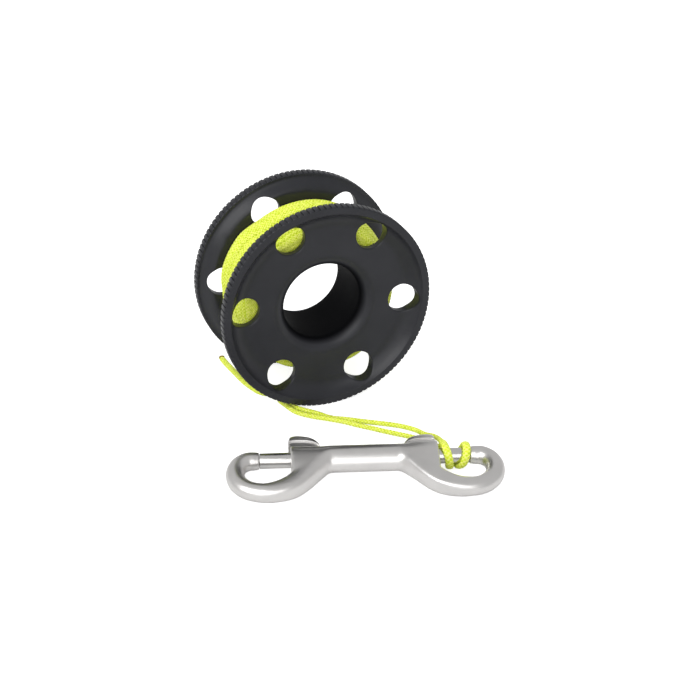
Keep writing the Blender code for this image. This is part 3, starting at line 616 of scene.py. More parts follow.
lead = braided_tube("lead_and_tail", lead_path, FREE_AROUND, FREE_STEP, press=along_the_tail)
loop = braided_tube("snap_loop", loop_path, FREE_AROUND, FREE_STEP, press=round_the_bolt)

# %% [markdown]
# The knot is an overhand knot pulled tight. Its centre line is the trefoil: x goes as sin t + 2 sin 2t,
# y as cos t - 2 cos 2t and z as -sin 3t, squeezed into the knot's own small space.
# The tail's end was melted with a flame, which leaves a hard, lumpy bead.

# %% The knot and the melted tip
KNOT_PLACE = np.array((-16.5, -8.6, 2.85)) * MM
KNOT_SIZE = np.array((2.4, 1.95, 1.55)) * MM
BEAD_PLACE = np.array((-28.43, 27.6, 1.15)) * MM
BEAD_SIZE = np.array((1.15, 0.95, 1.1)) * MM
BEAD_SIDE_LUMPS = 0.07
BEAD_END_LUMPS = 0.04


def bead_rings(rows=15, around=28):
    """Rings of a ball of radius 1, swollen by a wave that winds round it and by one from end to end."""
    up = np.linspace(-np.pi / 2, np.pi / 2, rows + 2)[1:-1, None]
    angle = full_turn(around)[None]
    lump = 1 + BEAD_SIDE_LUMPS * np.sin(3 * angle + 2 * up) + BEAD_END_LUMPS * np.cos(5 * up)
    ball = [np.cos(up) * np.cos(angle), np.sin(up) + 0 * angle, np.cos(up) * np.sin(angle)]
    return np.stack(ball, -1) * lump[..., None]


t = np.linspace(0, 2 * np.pi, 200)
trefoil = [(np.sin(t) + 2 * np.sin(2 * t)) / 3, (np.cos(t) - 2 * np.cos(2 * t)) / 3, -np.sin(3 * t)]
knot_path = KNOT_PLACE + np.stack(trefoil, -1) * KNOT_SIZE
knot = braided_tube("loop_knot", knot_path, FREE_AROUND, FREE_STEP)
bead_points, bead_faces = closed_rings(BEAD_PLACE + bead_rings() * BEAD_SIZE)
melted_tip = weld(make_piece("melted_tip", bead_points, bead_faces), smooth_angle=SOFT_ANGLE)

# %% [markdown]
# ## The snap
# The body is a steel casting: a round barrel that thickens into a block at each end, and from each block
# a hook sweeps round to the bolt's tip. Swept shapes are simple to work out, but the casting blends them
# without a seam. So they are made overlapping, fused by a fine voxel remesh, smoothed, and then bored.

# %% Sizes of the snap, from the middle of its barrel
SNAP_PLACE = np.array((-0.00455, -0.0640, 0.00475))
BARREL_RADIUS = 0.00475
BARREL_PLAIN = 0.0120
BLOCK_END = 0.0256
BLOCK_EDGE = 0.0006
ROOT_DEPTH = 0.0055
HOOK_RADIUS = 0.00325
HOOK_ROOT_RADIUS = 0.0039
HOOK_DROP = 0.0167
HOOK_REACH = 0.0447
HOOK_TIP = 0.0365
BOLT_RADIUS = 0.0027
BOLT_LENGTH = 0.0184
SNAP_TILT = math.asin((BARREL_RADIUS - HOOK_RADIUS) / HOOK_DROP)


def turn_matrix(angle, first, second):
    """The matrix of a turn in the plane of two axes: a cos and -sin row, and below it a sin and cos row."""
    matrix = np.eye(3)
    matrix[first, first] = matrix[second, second] = math.cos(angle)
    matrix[first, second] = -math.sin(angle)
    matrix[second, first] = math.sin(angle)
    return matrix


def onto_snap(points, side=1, roll=0):
    """Places in the room from places on the snap, first rolled about its X axis.

    The left half is the right one turned half round about Y. Then the snap is tilted and turned in place.
    """
    points = np.asarray(points) @ turn_matrix(roll, 1, 2).T * (side, 1, side)
    return points @ (turn_matrix(SNAP_YAW, 0, 1) @ turn_matrix(SNAP_TILT, 1, 2)).T + SNAP_PLACE


def squarish(angle, power):
    """Cosine and sine bent towards a square: each keeps its sign and is raised to two over the power."""
    return [np.sign(wave) * np.abs(wave) ** (2 / power) for wave in (np.cos(angle), np.sin(angle))]


def half_thickness(y):
    """Half the casting's thickness at a place across it, so that its underside lies flat on the floor."""
    return (BARREL_RADIUS + np.minimum(y, 0) * math.sin(SNAP_TILT)) / math.cos(SNAP_TILT)


# %% Barrel and blocks
BARREL_ROWS = 41
EDGE_ROWS = 5
BLUR_ROWS = 7
DEPTH_SHARES = ((0, 0.12, 0.28, 0.5, 0.75, 1), (0, 0.36, 0.74, 0.95, 1, 1))
FLAT_POWERS = ((0, 0.15, 0.38, 0.6, 1), (2, 2.3, 3.1, 3.9, 4.4))
FULL_POWERS = ((0, 0.3, 1), (2, 2.2, 2.7))


def barrel_points(around=96):
    """Rings along the barrel: round in the middle, deeper at each end, where one face is flat and one full.

    From the plain barrel to the block's end, the depth and the powers of the rings follow the tables above.
    The last rows roll over the block's edge by a quarter circle: in by e (1 - cos a), back by e (1 - sin a).
    The other half of the barrel is the same, with its flat and its full face changed over.
    """
    share = np.linspace(0, 1, BARREL_ROWS)
    depth = np.interp(share, *DEPTH_SHARES)
    depth = np.convolve(np.pad(depth, BLUR_ROWS // 2, mode="edge"), np.ones(BLUR_ROWS) / BLUR_ROWS, "valid")
    square, soft = np.interp(share, *FLAT_POWERS), np.interp(share, *FULL_POWERS)
    bend = np.radians(np.linspace(0, 90, EDGE_ROWS + 1))[1:]
    x = BARREL_PLAIN + share * (BLOCK_END - BARREL_PLAIN) - BLOCK_EDGE * share
    x = np.append(x, BLOCK_END - BLOCK_EDGE * (1 - np.sin(bend)))
    inset = np.append(np.zeros(BARREL_ROWS), BLOCK_EDGE * (1 - np.cos(bend)))
    depth, square, soft = (np.pad(values, (0, EDGE_ROWS), mode="edge") for values in (depth, square, soft))
    upper, lower = np.append(soft[::-1], square)[:, None], np.append(square[::-1], soft)[:, None]
    towards_hook = np.append(square[::-1], square)[:, None]
    x, inset, depth = np.append(-x[::-1], x), np.append(inset[::-1], inset), np.append(depth[::-1], depth)
    x, inset, depth = x[:, None], inset[:, None], depth[:, None]
    angle = full_turn(around)[None]
    power = np.where(np.sin(angle) > 0, upper, lower)
    across, up = squarish(angle, np.where(np.cos(angle) < 0, towards_hook, power))
    top, low = BARREL_RADIUS - inset, -BARREL_RADIUS - depth * ROOT_DEPTH + inset
    y = (top + low) / 2 + (top - low) / 2 * across
    thick = np.minimum(half_thickness(y), BARREL_RADIUS) - inset
    return np.stack([x + 0 * y, y, thick * up], -1)


# %% Hooks
HOOK_STEPS = 8
HOOK_ALONG = np.array([0.15, 0.28, 0.42, 0.565, 0.71, 0.855, 0.965, 1, 0.965, 0.885, 0.805])
HOOK_DROPS = np.array([0.20, 0.56, 0.84, 0.97, 1, 0.92, 0.70, 0.41, 0.16, 0.02, 0])
HOOK_SWELLS = np.array([1, 1, 0.65, 0.2, 0, 0, 0, 0, 0, 0])
MOUTH_SIZES = (0.00317, 0.0029)
HOOK_FLAT_POWERS = ((0, 2, 3, 4.5, 12), (4.4, 4, 2.9, 2, 2))
HOOK_FULL_POWERS = ((0, 2, 4, 12), (3.6, 3.2, 2, 2))
ROOT_END_SPOT = 4
ROOT_HALVES = ((0, 1.2, 2.4, ROOT_END_SPOT), (0.0046, 0.0044, 0.0037, HOOK_RADIUS))


def hook_points(around=48):
    """Rings along a hook, from inside its block to the mouth; its section goes from squarish to round.

    The route's points are shares of the hook's reach and drop. Sizes, powers and the root's half thickness
    are read at a ring's spot, which counts the route's points from the block.
    """
    route = np.stack([BARREL_PLAIN + HOOK_ALONG * (HOOK_REACH - BARREL_PLAIN), -HOOK_DROPS * HOOK_DROP], -1)
    route = np.vstack([route, (HOOK_TIP, 0)])
    path = smooth_path(np.column_stack([route, np.zeros(len(route))]), HOOK_STEPS)
    heading = np.gradient(path, axis=0)
    heading[-1] = (-1, 0, 0)
    heading /= np.linalg.norm(heading, axis=1)[:, None]
    spot = np.arange(len(path)) / HOOK_STEPS
    size = np.append(HOOK_RADIUS + HOOK_SWELLS * (HOOK_ROOT_RADIUS - HOOK_RADIUS), MOUTH_SIZES)
    size = np.interp(spot, np.arange(len(size)), size)[:, None]
    flat, full = np.interp(spot, *HOOK_FLAT_POWERS)[:, None], np.interp(spot, *HOOK_FULL_POWERS)[:, None]
    angle = full_turn(around)[None]
    across, up = squarish(angle, np.where(np.sin(angle) > 0, flat, full))
    root = np.where(spot > ROOT_END_SPOT, 0, np.interp(spot, *ROOT_HALVES))[:, None]
    thick = np.minimum(np.maximum(size, root), half_thickness(path[:, 1:2]) * math.cos(SNAP_TILT) ** 2)
    side = np.stack([-heading[:, 1], heading[:, 0], 0 * spot], -1)[:, None]
    return path[:, None] + side * (size * across)[..., None] + np.array((0, 0, 1)) * (thick * up)[..., None]


# %% Fuse and smooth the casting
def modified(piece, kind, **settings):
    """The piece after one modifier with these settings, worked out at once and kept as its mesh."""
    modifier = piece.modifiers.new(kind.lower(), kind)
    for key, value in settings.items():
        setattr(modifier, key, value)
    graph = bpy.context.evaluated_depsgraph_get()
    mesh = bpy.data.meshes.new_from_object(piece.evaluated_get(graph))
    piece.modifiers.clear()
    piece.data = mesh
    return piece


def rounded_rod(radius, start, end, around=48, rounding=0.0):
    """Rings of a round bar along X, its end edges rolled over by a quarter circle."""
    bend = np.radians(np.linspace(0, 90, 6))
    x = np.append(start + rounding * (1 - np.cos(bend)), end - rounding * (1 - np.sin(bend)))[:, None]
    r = radius - rounding * np.append(1 - np.sin(bend), 1 - np.cos(bend))[:, None]
    angle = full_turn(around)[None]
    return np.stack([x + 0 * angle, r * np.cos(angle), r * np.sin(angle)], -1)


def corner_places(piece):
    """The places of a piece's corners, as one array."""
    places = np.empty(len(piece.data.vertices) * 3)
    piece.data.vertices.foreach_get("co", places)
    return places.reshape(-1, 3)


def nearness(value, centre, width, top=1.0):
    """The top at the centre, 1 less for each width away from it, and kept between 0 and 1."""
    return np.clip(top - np.abs(value - centre) / width, 0, 1)


def relaxed(piece, name, share, iterations):
    """The piece smoothed where the share is above 0, and more as it nears 1, in four steps of weight."""
    group = piece.vertex_groups.new(name=name)
    for weight in (0.25, 0.5, 0.75, 1.0):
        chosen = np.flatnonzero(np.ceil(share * 4) / 4 == weight)
        group.add(chosen.tolist(), weight, "REPLACE")
    return modified(piece, "SMOOTH", factor=0.5, iterations=iterations, vertex_group=name)


casting = [closed_rings(barrel_points())]
for side in (1, -1):
    rings, faces = closed_rings(hook_points())
    casting.append((rings * (side, 1, side), faces))
snap = join_patches("snap", casting)
modified(snap, "REMESH", mode="VOXEL", voxel_size=0.00028)
modified(snap, "SMOOTH", factor=0.5, iterations=4)

# %% [markdown]
# A cast skin is soft where shapes meet. Three places are smoothed further: the seam where a hook leaves its
# block, the root of the hook on the block's full face, and the shoulder where the barrel thickens.

# %% Soften the casting's seams, roots and shoulders
ROOT_X = 0.0205
SEAM_Y = -0.0098
ROOT_Y = -0.0075
SHOULDER_X = 0.0152
FACE_FADE = 0.002
SHOULDER_FADE = 0.004

x, y, z = corner_places(snap).T
seam = nearness(np.abs(x), ROOT_X, width=0.0085) * nearness(y, SEAM_Y, width=0.0058)
relaxed(snap, "seam", np.minimum(1, 2 * seam), iterations=45)
x, y, z = corner_places(snap).T
full_side = np.clip(-np.sign(x) * z / FACE_FADE, 0, 1)
root = full_side * nearness(np.abs(x), ROOT_X, 0.0045, top=1.6) * nearness(y, ROOT_Y, 0.0040, top=1.6)
relaxed(snap, "root", root, iterations=160)
x, y, z = corner_places(snap).T
shoulder = nearness(np.abs(x), SHOULDER_X, 0.0034, top=1.5) * np.clip(0.5 - y / SHOULDER_FADE, 0, 1)
relaxed(snap, "shoulder", shoulder, iterations=70)
print("casting:", len(snap.data.polygons), "faces")

# %% [markdown]
# The bolts slide in round bores, and each thumb stud's stem runs in a slot. They are cut after the skin is
# smooth, so their edges stay as crisp as drilled ones.

# %% Bores and slots
BORE_GAP = 0.00015
BORE_FLOOR = 0.003
BORE_OUT = 0.028
SLOT_RADIUS = 0.0017
SLOT_INNER = 0.0100
SLOT_WALL = 0.002
SLOT_OUTER = BLOCK_END - SLOT_WALL
SLOT_TOP = 0.008
STEM_RADIUS = 0.0012
STEM_GAP = 0.0003
STEM_PLACE = SLOT_OUTER - STEM_RADIUS - STEM_GAP


def slot_points():
    """A bar with half round ends, stood on the barrel's axis and reaching out past its skin."""
    bend = np.linspace(-np.pi / 2, np.pi / 2, 13)
    out = [SLOT_OUTER - SLOT_RADIUS + SLOT_RADIUS * np.cos(bend), SLOT_RADIUS * np.sin(bend)]
    back = [SLOT_INNER + SLOT_RADIUS - SLOT_RADIUS * np.cos(bend), -SLOT_RADIUS * np.sin(bend)]
    x, z = np.concatenate([out, back], axis=1)
    return np.array([np.stack([x, np.full(len(x), y), z], -1) for y in (0.0, SLOT_TOP)])


cutter_rings = {"bore": rounded_rod(BOLT_RADIUS + BORE_GAP, BORE_FLOOR, BORE_OUT), "slot": slot_points()}
cutters = []
for side in (1, -1):
    for kind, rings in cutter_rings.items():
        points, faces = closed_rings(rings)
        cutter = weld(make_piece(f"{kind}_cutter", points * (side, 1, side), faces))
        modified(snap, "BOOLEAN", operation="DIFFERENCE", solver="EXACT", object=cutter)
        cutters.append(cutter)
for cutter in cutters:
    bpy.data.objects.remove(cutter)
snap.data.set_sharp_from_angle(angle=math.radians(50))


def place_on_snap(piece, side=1, roll=0):
    """Moves every corner of a piece from the snap's own place to where it lies in the room."""
    places = onto_snap(corner_places(piece), side, roll)
    piece.data.vertices.foreach_set("co", places.reshape(-1))
    piece.data.update()


place_on_snap(snap)
print("snap bored:", len(snap.data.polygons), "faces")

# %% [markdown]
# ## Bolts, studs and springs
# A bolt is a turned pin. Its thumb stud is a rounded fin whose stem is pressed into it through the slot.
# The fin has one cross-section, a neck under a fuller cap. It is carried from the fin's face to its tail,
# as tall at each step as the outline is there, and drawn in a little at the face and more towards the tail.

# %% The moving pieces of both ends
STUD_OUTLINE = np.array([
    (0, 0.5), (0.03, 0.77), (0.11, 0.94), (0.25, 1), (0.42, 0.97),
    (0.62, 0.87), (0.82, 0.68), (0.96, 0.38), (1, 0.1),
])
STUD_SECTION = np.array([
    (0, 0.74), (0.34, 0.74), (0.37, 0.80), (0.40, 0.95), (0.46, 1),
    (0.66, 0.95), (0.86, 0.80), (0.97, 0.5), (1, 0),
])
STUD_LENGTH = 0.0111
STUD_HEIGHT = 0.0062
STUD_HALF = 0.0024
STUD_BASE = BARREL_RADIUS + 0.0005
FACE_THINNING = 0.22
FACE_END = 0.07
TAIL_THINNING = 0.45
TAIL_START = 0.6
STEM_INNER = 0.0009
STEM_SINK = 0.002
BOLT_ROUNDING = 0.0003
BOLT_TIP = HOOK_TIP - 0.0001

# Each hand has its side, how far its stud stands past the block, and how far stud and bolt are rolled.
HANDS = {"right": (1, -0.0003, math.radians(-3.5)), "left": (-1, 0.0008, math.radians(-1.5))}


def smooth_outline(outline, steps, step):
    """A smooth curve through an outline's points, with its own points evenly spread."""
    route = np.column_stack([outline, np.zeros(len(outline))])
    return even_steps(smooth_path(route, steps), step)[0]


def stud_points(overhang):
    """Rings of the fin from its face to its tail: each is the section, as tall as the outline is there.

    Its width is 1 - 0.22 a^2 - 0.45 b^2, where a rises from 0 to 1 at the face and b towards the tail's end.
    """
    top = smooth_outline(STUD_OUTLINE, 16, 0.025)
    half = smooth_outline(STUD_SECTION, 12, 0.05)
    tall, wide, _ = np.vstack([half, half[-2::-1] * (1, -1, 1)]).T[:, None]
    along = top[:, :1]
    face, tail = np.clip(1 - along / FACE_END, 0, 1), np.clip((along - TAIL_START) / (1 - TAIL_START), 0, 1)
    full = 1 - FACE_THINNING * face**2 - TAIL_THINNING * tail**2
    x = BLOCK_END + overhang - STUD_LENGTH * along + 0 * tall
    return np.stack([x, STUD_BASE + STUD_HEIGHT * top[:, 1:2] * tall, STUD_HALF * full * wide], -1)


SPRING_GAP = 0.0003
SPRING_START = BORE_FLOOR + SPRING_GAP
SPRING_END = BOLT_TIP - BOLT_LENGTH - SPRING_GAP
SPRING_WIRE = 0.00025
SPRING_RADIUS = 0.0021
SPRING_CURLS = 7
CURL_STEPS = 32
SPRING_AROUND = 10
SPRING_STEP = 0.0004


def spring_points():
    """The middle of a return spring's wire: even curls of a helix between the bore's floor and the bolt."""
    start, end = SPRING_START + SPRING_WIRE, SPRING_END - SPRING_WIRE
    turn = np.linspace(0, SPRING_CURLS, SPRING_CURLS * CURL_STEPS + 1)
    angle = 2 * np.pi * turn
    x = start + (end - start) * turn / SPRING_CURLS
    return np.stack([x, SPRING_RADIUS * np.cos(angle), SPRING_RADIUS * np.sin(angle)], -1)


moving = {}
for hand, (side, overhang, roll) in HANDS.items():
    pin = closed_rings(rounded_rod(BOLT_RADIUS, BOLT_TIP - BOLT_LENGTH, BOLT_TIP, 64, BOLT_ROUNDING))
    bolt = join_patches(f"{hand}_pin", [pin])
    stem = rounded_rod(STEM_RADIUS, STEM_INNER, STUD_BASE + STEM_SINK, 32)[..., (1, 0, 2)] + (STEM_PLACE, 0, 0)
    fin_rings = [closed_rings(stud_points(overhang)), closed_rings(stem)]
    fin = join_patches(f"{hand}_thumb_fin", fin_rings, smooth_angle=60)
    spring = braided_tube(f"{hand}_return_spring", spring_points(), SPRING_AROUND, SPRING_STEP,
                          relief=False, radius=SPRING_WIRE)
    for piece, piece_roll in ((bolt, roll), (fin, roll), (spring, 0)):
        place_on_snap(piece, side, piece_roll)
    moving[hand] = (bolt, fin, spring)

# %% [markdown]
# ## Finishes
# Every finish is made of shader nodes, so it has no edges and no image. Patterns on hard pieces read Object
# coordinates, in metres, and the line's braid reads the tube's own UV map.

# %% Helpers for finishes
def new_finish(name, **shader_values):
    """A material and its shader, with these values set on the shader's own sockets."""
    material = bpy.data.materials.new(name)
    material.use_nodes = True
    shader = material.node_tree.nodes["Principled BSDF"]
    for socket, value in shader_values.items():
        shader.inputs[socket.replace("_", " ")].default_value = value
    return material, shader


def add(material, kind, inputs=(), **settings):
    """A node with these settings; inputs maps a socket's number or name to a value or to a node's output."""
    node = material.node_tree.nodes.new("ShaderNode" + kind)
    for key, value in settings.items():
        setattr(node, key, value)
    for key, value in dict(inputs).items():
        if isinstance(value, bpy.types.NodeSocket):
            material.node_tree.links.new(value, node.inputs[key])
        else:
            node.inputs[key].default_value = value
    return node


def maths(material, operation, *values):
    """The result of one sum on values or outputs."""
    return add(material, "Math", dict(enumerate(values)), operation=operation).outputs[0]


def blend(material, share, start, end):
    """The value a share of the way from a start to an end, which are plain numbers."""
    return maths(material, "MULTIPLY_ADD", share, end - start, start)


def noise(material, scale, detail=2.0):
    """A soft random pattern, so many waves to a metre of the object."""
    where = add(material, "TexCoord").outputs["Object"]
    return add(material, "TexNoise", {"Vector": where, "Scale": scale, "Detail": detail}).outputs[0]


def ramp(material, value, *stops):
    """Colours along a value, from pairs of a place and a colour."""
    node = add(material, "ValToRGB", {0: value})
    elements = node.color_ramp.elements
    while len(elements) < len(stops):
        elements.new(0.5)
    for element, (place, colour) in zip(elements, stops):
        element.position = place
        element.color = (*colour, 1)
    return node.outputs[0]


def bump(material, shader, height, distance, strength=1.0, after=None):
    """Dents and rises the light sees, from a height from 0 to 1 and its depth in metres."""
    inputs = {"Height": height, "Distance": distance, "Strength": strength}
    if after:
        inputs["Normal"] = after
    output = add(material, "Bump", inputs).outputs[0]
    material.node_tree.links.new(output, shader.inputs["Normal"])
    return output


def wire(material, output, shader, socket):
    """Links an output to one of the shader's sockets."""
    material.node_tree.links.new(output, shader.inputs[socket])


# %% [markdown]
# Turned acetal is satin and almost even. A fine grain breaks up its highlight, and handling leaves slow,
# faint changes of gloss. The bore lies in the flanges' shade, and painted shade darkens its colour and turns
# down its shine. It was left rough from the drill, so it is duller than the faces too. The distance from the
# axis tells the two apart.

# %% Black acetal
BORE_SHADE_START = BORE_RADIUS + 0.0003
BORE_SHADE_END = BORE_RADIUS + 0.0020
# Painted shade: in the bore the colour falls to this share of the faces' colour.
BORE_PAINTED_SHADE_SHARE = 0.15
BORE_SPECULAR = 0.05
FACE_SPECULAR = 0.44
BORE_ROUGHNESS = 0.55
FACE_ROUGHNESS = 0.28
HANDLING_CHANGE = 0.10
acetal, shader = new_finish("black_acetal", IOR=1.48)
acetal_colours = ((0.3, (0.0150, 0.0157, 0.0200)), (0.7, (0.0200, 0.0207, 0.0258)))
black = ramp(acetal, noise(acetal, 90, 3), *acetal_colours)
place_nodes = add(acetal, "SeparateXYZ", {0: add(acetal, "TexCoord").outputs["Object"]})
sideways, upward = place_nodes.outputs[0], maths(acetal, "SUBTRACT", place_nodes.outputs[2], AXIS_HEIGHT)
squared = maths(acetal, "MULTIPLY_ADD", upward, upward, maths(acetal, "MULTIPLY", sideways, sideways))
from_axis = maths(acetal, "SQRT", squared)
shade_range = {"Value": from_axis, "From Min": BORE_SHADE_START, "From Max": BORE_SHADE_END}
outside = add(acetal, "MapRange", shade_range).outputs[0]
# Painted shade in the bore: the colour is scaled down by this tone, and its shine is lowered below.
tone = blend(acetal, outside, BORE_PAINTED_SHADE_SHARE, 1)
painted_bore_shade = add(acetal, "VectorMath", {0: black, "Scale": tone}, operation="SCALE").outputs[0]
wire(acetal, painted_bore_shade, shader, "Base Color")
wire(acetal, blend(acetal, outside, BORE_SPECULAR, FACE_SPECULAR), shader, "Specular IOR Level")
dull = blend(acetal, outside, BORE_ROUGHNESS, FACE_ROUGHNESS)
handled = maths(acetal, "MULTIPLY_ADD", noise(acetal, 260, 4), HANDLING_CHANGE, dull)
wire(acetal, handled, shader, "Roughness")
bump(acetal, shader, noise(acetal, 5200, 2), distance=0.00001, strength=0.5)

# %% [markdown]
# The line's colour is a bright yellow-green, with painted shade between the strands and a painted highlight
# on their tops. The same sum that raised the tube's relief, written with nodes on its UV map, gives this
# painted shade and highlight and, on the winding, its bumps.

# %% Braided line
# Share of the tone given by painted shade between the strands and a painted highlight on their tops.
PAINTED_SHADE_HIGHLIGHT_SHARE = 0.55
BLOTCH_SHARE = 0.55
FUZZ_SHARE = 0.20
LINE_SHEEN = 0.12


def braid_nodes(material):
    """The braid's height from the UV map: the higher of the two families of strands at each place."""
    split = add(material, "SeparateXYZ", {0: add(material, "UVMap", uv_map="braid").outputs[0]})
    turn, lay = split.outputs[0], split.outputs[1]
    waves = []
    for operation in ("ADD", "SUBTRACT"):
        way = maths(material, operation, turn, lay)
        phase = maths(material, "MULTIPLY", way, math.pi * STRANDS_PER_HAND)
        waves.append(maths(material, "COSINE", phase))
    weave = maths(material, "MULTIPLY", *waves)
    heights = []
    for wave, rise in zip(waves, (CROSSING_RISE, -CROSSING_RISE)):
        level = maths(material, "MULTIPLY_ADD", weave, rise, 1 - CROSSING_RISE)
        heights.append(maths(material, "MULTIPLY", maths(material, "ABSOLUTE", wave), level))
    return maths(material, "MAXIMUM", *heights)


def line_finish(name, depth, colours):
    """Nylon braid: painted shade between its strands and a painted highlight on them, fine threads, and a
    little of its own sheen.
    """
    material, shader = new_finish(name, Roughness=0.55, IOR=1.5)
    shader.inputs["Sheen Weight"].default_value = LINE_SHEEN
    height = braid_nodes(material)
    fuzz = noise(material, 3000, 2)
    blotch = noise(material, 950, 1)
    # Painted shade and highlight: the braid's height darkens the gaps between strands and lightens their tops.
    weave = maths(material, "MULTIPLY", height, PAINTED_SHADE_HIGHLIGHT_SHARE)
    woven = maths(material, "MULTIPLY_ADD", blotch, BLOTCH_SHARE, weave)
    tone = maths(material, "MULTIPLY_ADD", fuzz, FUZZ_SHARE, woven)
    wire(material, ramp(material, tone, *colours), shader, "Base Color")
    threads = bump(material, shader, maths(material, "ADD", fuzz, blotch), distance=0.00008, strength=0.5)
    bump(material, shader, height, distance=depth, after=threads)
    return material


# Each ramp's lowest stop is painted shade between the strands, and its highest a painted highlight on them.
free_colours_painted_shade_highlight = ((0.42, (0.60, 0.71, 0.006)), (0.66, (0.78, 0.94, 0.03)), (0.88, (0.96, 0.99, 0.22)))
# The wound line's stops are darker than the free line's: painted shade for the winding, which lies in more
# shade.
wound_colours_painted_shade_highlight = ((0.42, (0.50, 0.57, 0.003)), (0.66, (0.72, 0.88, 0.022)), (0.88, (0.95, 0.99, 0.20)))
free_braid = line_finish("free_braid", 0.00010, free_colours_painted_shade_highlight)
wound_braid_painted_shade = line_finish("wound_braid_painted_shade", 0.00016, wound_colours_painted_shade_highlight)
melted, shader = new_finish("melted_nylon", Roughness=0.3, IOR=1.5)
melt_colours = ((0.3, (0.16, 0.07, 0.015)), (0.7, (0.38, 0.30, 0.02)))
wire(melted, ramp(melted, noise(melted, 900, 3), *melt_colours), shader, "Base Color")

# %% [markdown]
# The casting is stainless steel, tumbled until it is satin and bright. Its gloss varies slowly over it,
# with a fine grain, and a few soft waves bend what it mirrors. The turned pins are smoother.

# %% Steels
STAIN = 0.93
GLOSS_CHANGE = 0.05


def steel_finish(name, colour, rough, grain):
    """Metal with a slow change of gloss, faint stains, and a grain of the given depth in metres."""
    material, shader = new_finish(name, Metallic=1.0, Roughness=rough)
    low = tuple(STAIN * part for part in colour)
    wire(material, ramp(material, noise(material, 160, 4), (0.3, low), (0.7, colour)), shader, "Base Color")
    gloss = blend(material, noise(material, 700, 5), rough - GLOSS_CHANGE, rough + GLOSS_CHANGE)
    wire(material, gloss, shader, "Roughness")
    waves = bump(material, shader, noise(material, 330, 2), distance=0.00002, strength=0.2)
    bump(material, shader, noise(material, 6000, 3), distance=grain, strength=0.1, after=waves)
    return material


cast_steel = steel_finish("tumbled_steel", (0.80, 0.785, 0.77), 0.33, 0.000006)
pin_steel = steel_finish("turned_steel", (0.76, 0.75, 0.735), 0.20, 0.000004)
spring_steel = steel_finish("spring_wire", (0.50, 0.50, 0.50), 0.32, 0.000004)

# %% Put the finishes on the pieces
finishes = {
    acetal: [spool],
    wound_braid_painted_shade: [winding, winding_core],
    free_braid: [lead, loop, knot],
    melted: [melted_tip],
    cast_steel: [snap, moving["left"][1], moving["right"][1]],
    pin_steel: [moving["left"][0], moving["right"][0]],
    spring_steel: [moving["left"][2], moving["right"][2]],
}
for material, pieces in finishes.items():
    for piece in pieces:
        piece.data.materials.clear()
        piece.data.materials.append(material)
print("finishes:", ", ".join(material.name for material in finishes))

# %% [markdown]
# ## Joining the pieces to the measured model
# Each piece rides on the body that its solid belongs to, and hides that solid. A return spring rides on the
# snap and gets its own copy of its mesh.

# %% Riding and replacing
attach(spool, "spool")
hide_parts("spool_body")
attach(winding, "spool")
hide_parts("line_winding")
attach(winding_core, "spool")
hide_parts("line_core")
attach(lead, "snap")
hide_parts("line_lead", "line_tail")
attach(loop, "snap")
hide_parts("line_loop")
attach(knot, "snap")
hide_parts("line_knot")
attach(melted_tip, "snap")
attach(snap, "snap")
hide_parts("snap_body")
for hand, (bolt, fin, spring) in moving.items():
    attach(bolt, f"{hand}_plunger")
    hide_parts(f"{hand}_bolt")
    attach(fin, f"{hand}_plunger")
    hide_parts(f"{hand}_thumb_stud")
    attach(spring, "snap")
    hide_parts(f"{hand}_spring")
    floor_spot, tip_spot = onto_snap([(SPRING_START, 0, 0), (SPRING_END, 0, 0)], HANDS[hand][0])
    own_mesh(spring)


def path_length(path):
    """Length of a path: the straight steps between its points, added up."""
    return float(np.linalg.norm(np.diff(path, axis=0), axis=1).sum())


print(f"lead and tail {path_length(lead_path) / MM:.0f} mm, loop {path_length(loop_path) / MM:.0f} mm")

# %% [markdown]
# ## Floor and light
# The floor is a pale plane that looks white to the camera and keeps the object's soft shadow. The room above
# it is a plain soft grey for mirrors, so that the steel shows the pale floor below and a quieter room above.

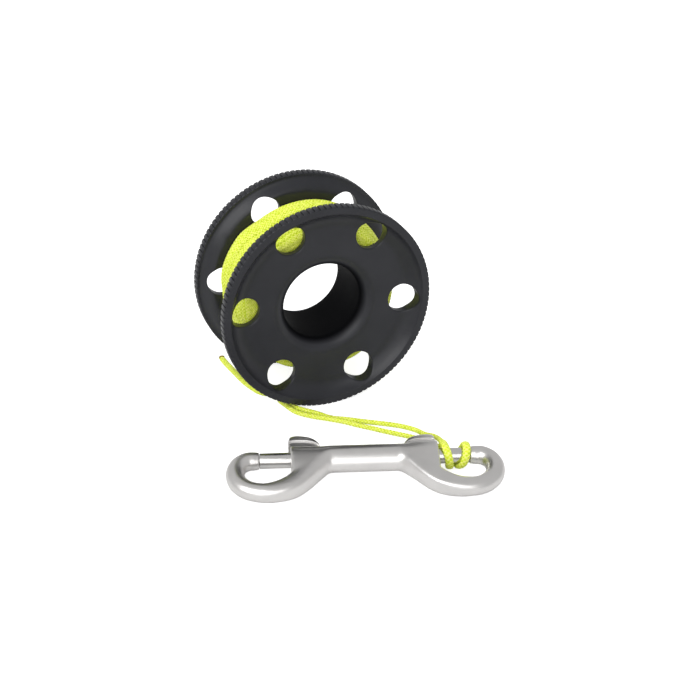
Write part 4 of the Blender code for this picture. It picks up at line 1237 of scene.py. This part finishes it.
# %% Floor, lamps and room
FLOOR_HALF = 3.0
FLOOR_HEIGHT = -0.00005
FLOOR_GLOW = 0.80
FLOOR_MIRROR_GLOW = 0.06
ROOM_LEVEL = 0.50
ROOM_CAMERA_LEVEL = 1.0
ROOM_MIRROR_GLOW = 0.05
ways = ((-1, -1), (1, -1), (1, 1), (-1, 1))
floor_corners = [(FLOOR_HALF * x, FLOOR_HALF * y, FLOOR_HEIGHT) for x, y in ways]
floor = make_piece("floor", floor_corners, [(0, 1, 2, 3)])
floor_finish, shader = new_finish("pale_floor", Base_Color=(0.72, 0.72, 0.72, 1), Roughness=0.9)
light_path = add(floor_finish, "LightPath")
direct_rays = (light_path.outputs[kind] for kind in ("Is Camera Ray", "Is Transmission Ray"))
seen = maths(floor_finish, "ADD", *direct_rays)
mirrored = maths(floor_finish, "MULTIPLY", light_path.outputs["Is Glossy Ray"], FLOOR_MIRROR_GLOW)
floor_glow = maths(floor_finish, "MULTIPLY_ADD", seen, FLOOR_GLOW, mirrored)
wire(floor_finish, floor_glow, shader, "Emission Strength")
shader.inputs["Emission Color"].default_value = (1, 1, 1, 1)
floor.data.materials.append(floor_finish)


def soft_lamp(name, place, target, size, watts):
    """A square lamp that faces its target."""
    data = bpy.data.lights.new(name, "AREA")
    data.shape = "SQUARE"
    data.size = size
    data.energy = watts
    lamp = bpy.data.objects.new(name, data)
    lamp.location = place
    away = np.array(place, float) - np.array(target, float)
    flat = math.hypot(away[0], away[1])
    lamp.rotation_euler = (math.atan2(flat, away[2]), 0, math.atan2(away[0], -away[1]))
    bpy.context.collection.objects.link(lamp)
    return lamp


soft_lamp("left_softbox", place=(-0.72, -0.40, 0.68), target=(0, -0.02, 0.03), size=0.85, watts=5.0)
soft_lamp("front_softbox", place=(-0.35, -1.10, 0.55), target=(0, -0.04, 0.03), size=0.95, watts=3.3)
fill = soft_lamp("overhead_fill", place=(0.1, 0.1, 1.0), target=(0, -0.02, 0.02), size=0.9, watts=3.5)
fill.visible_glossy = False
room = bpy.data.worlds.new("room")
bpy.context.scene.world = room
room.use_nodes = True
background = room.node_tree.nodes["Background"]
background.inputs["Color"].default_value = (1, 1, 1, 1)
room_path = add(room, "LightPath")
camera_range = {"Value": room_path.outputs["Is Camera Ray"], "To Min": ROOM_LEVEL, "To Max": ROOM_CAMERA_LEVEL}
level = add(room, "MapRange", camera_range).outputs[0]
glow = maths(room, "MULTIPLY_ADD", room_path.outputs["Is Glossy Ray"], ROOM_MIRROR_GLOW, level)
wire(room, glow, background, "Strength")
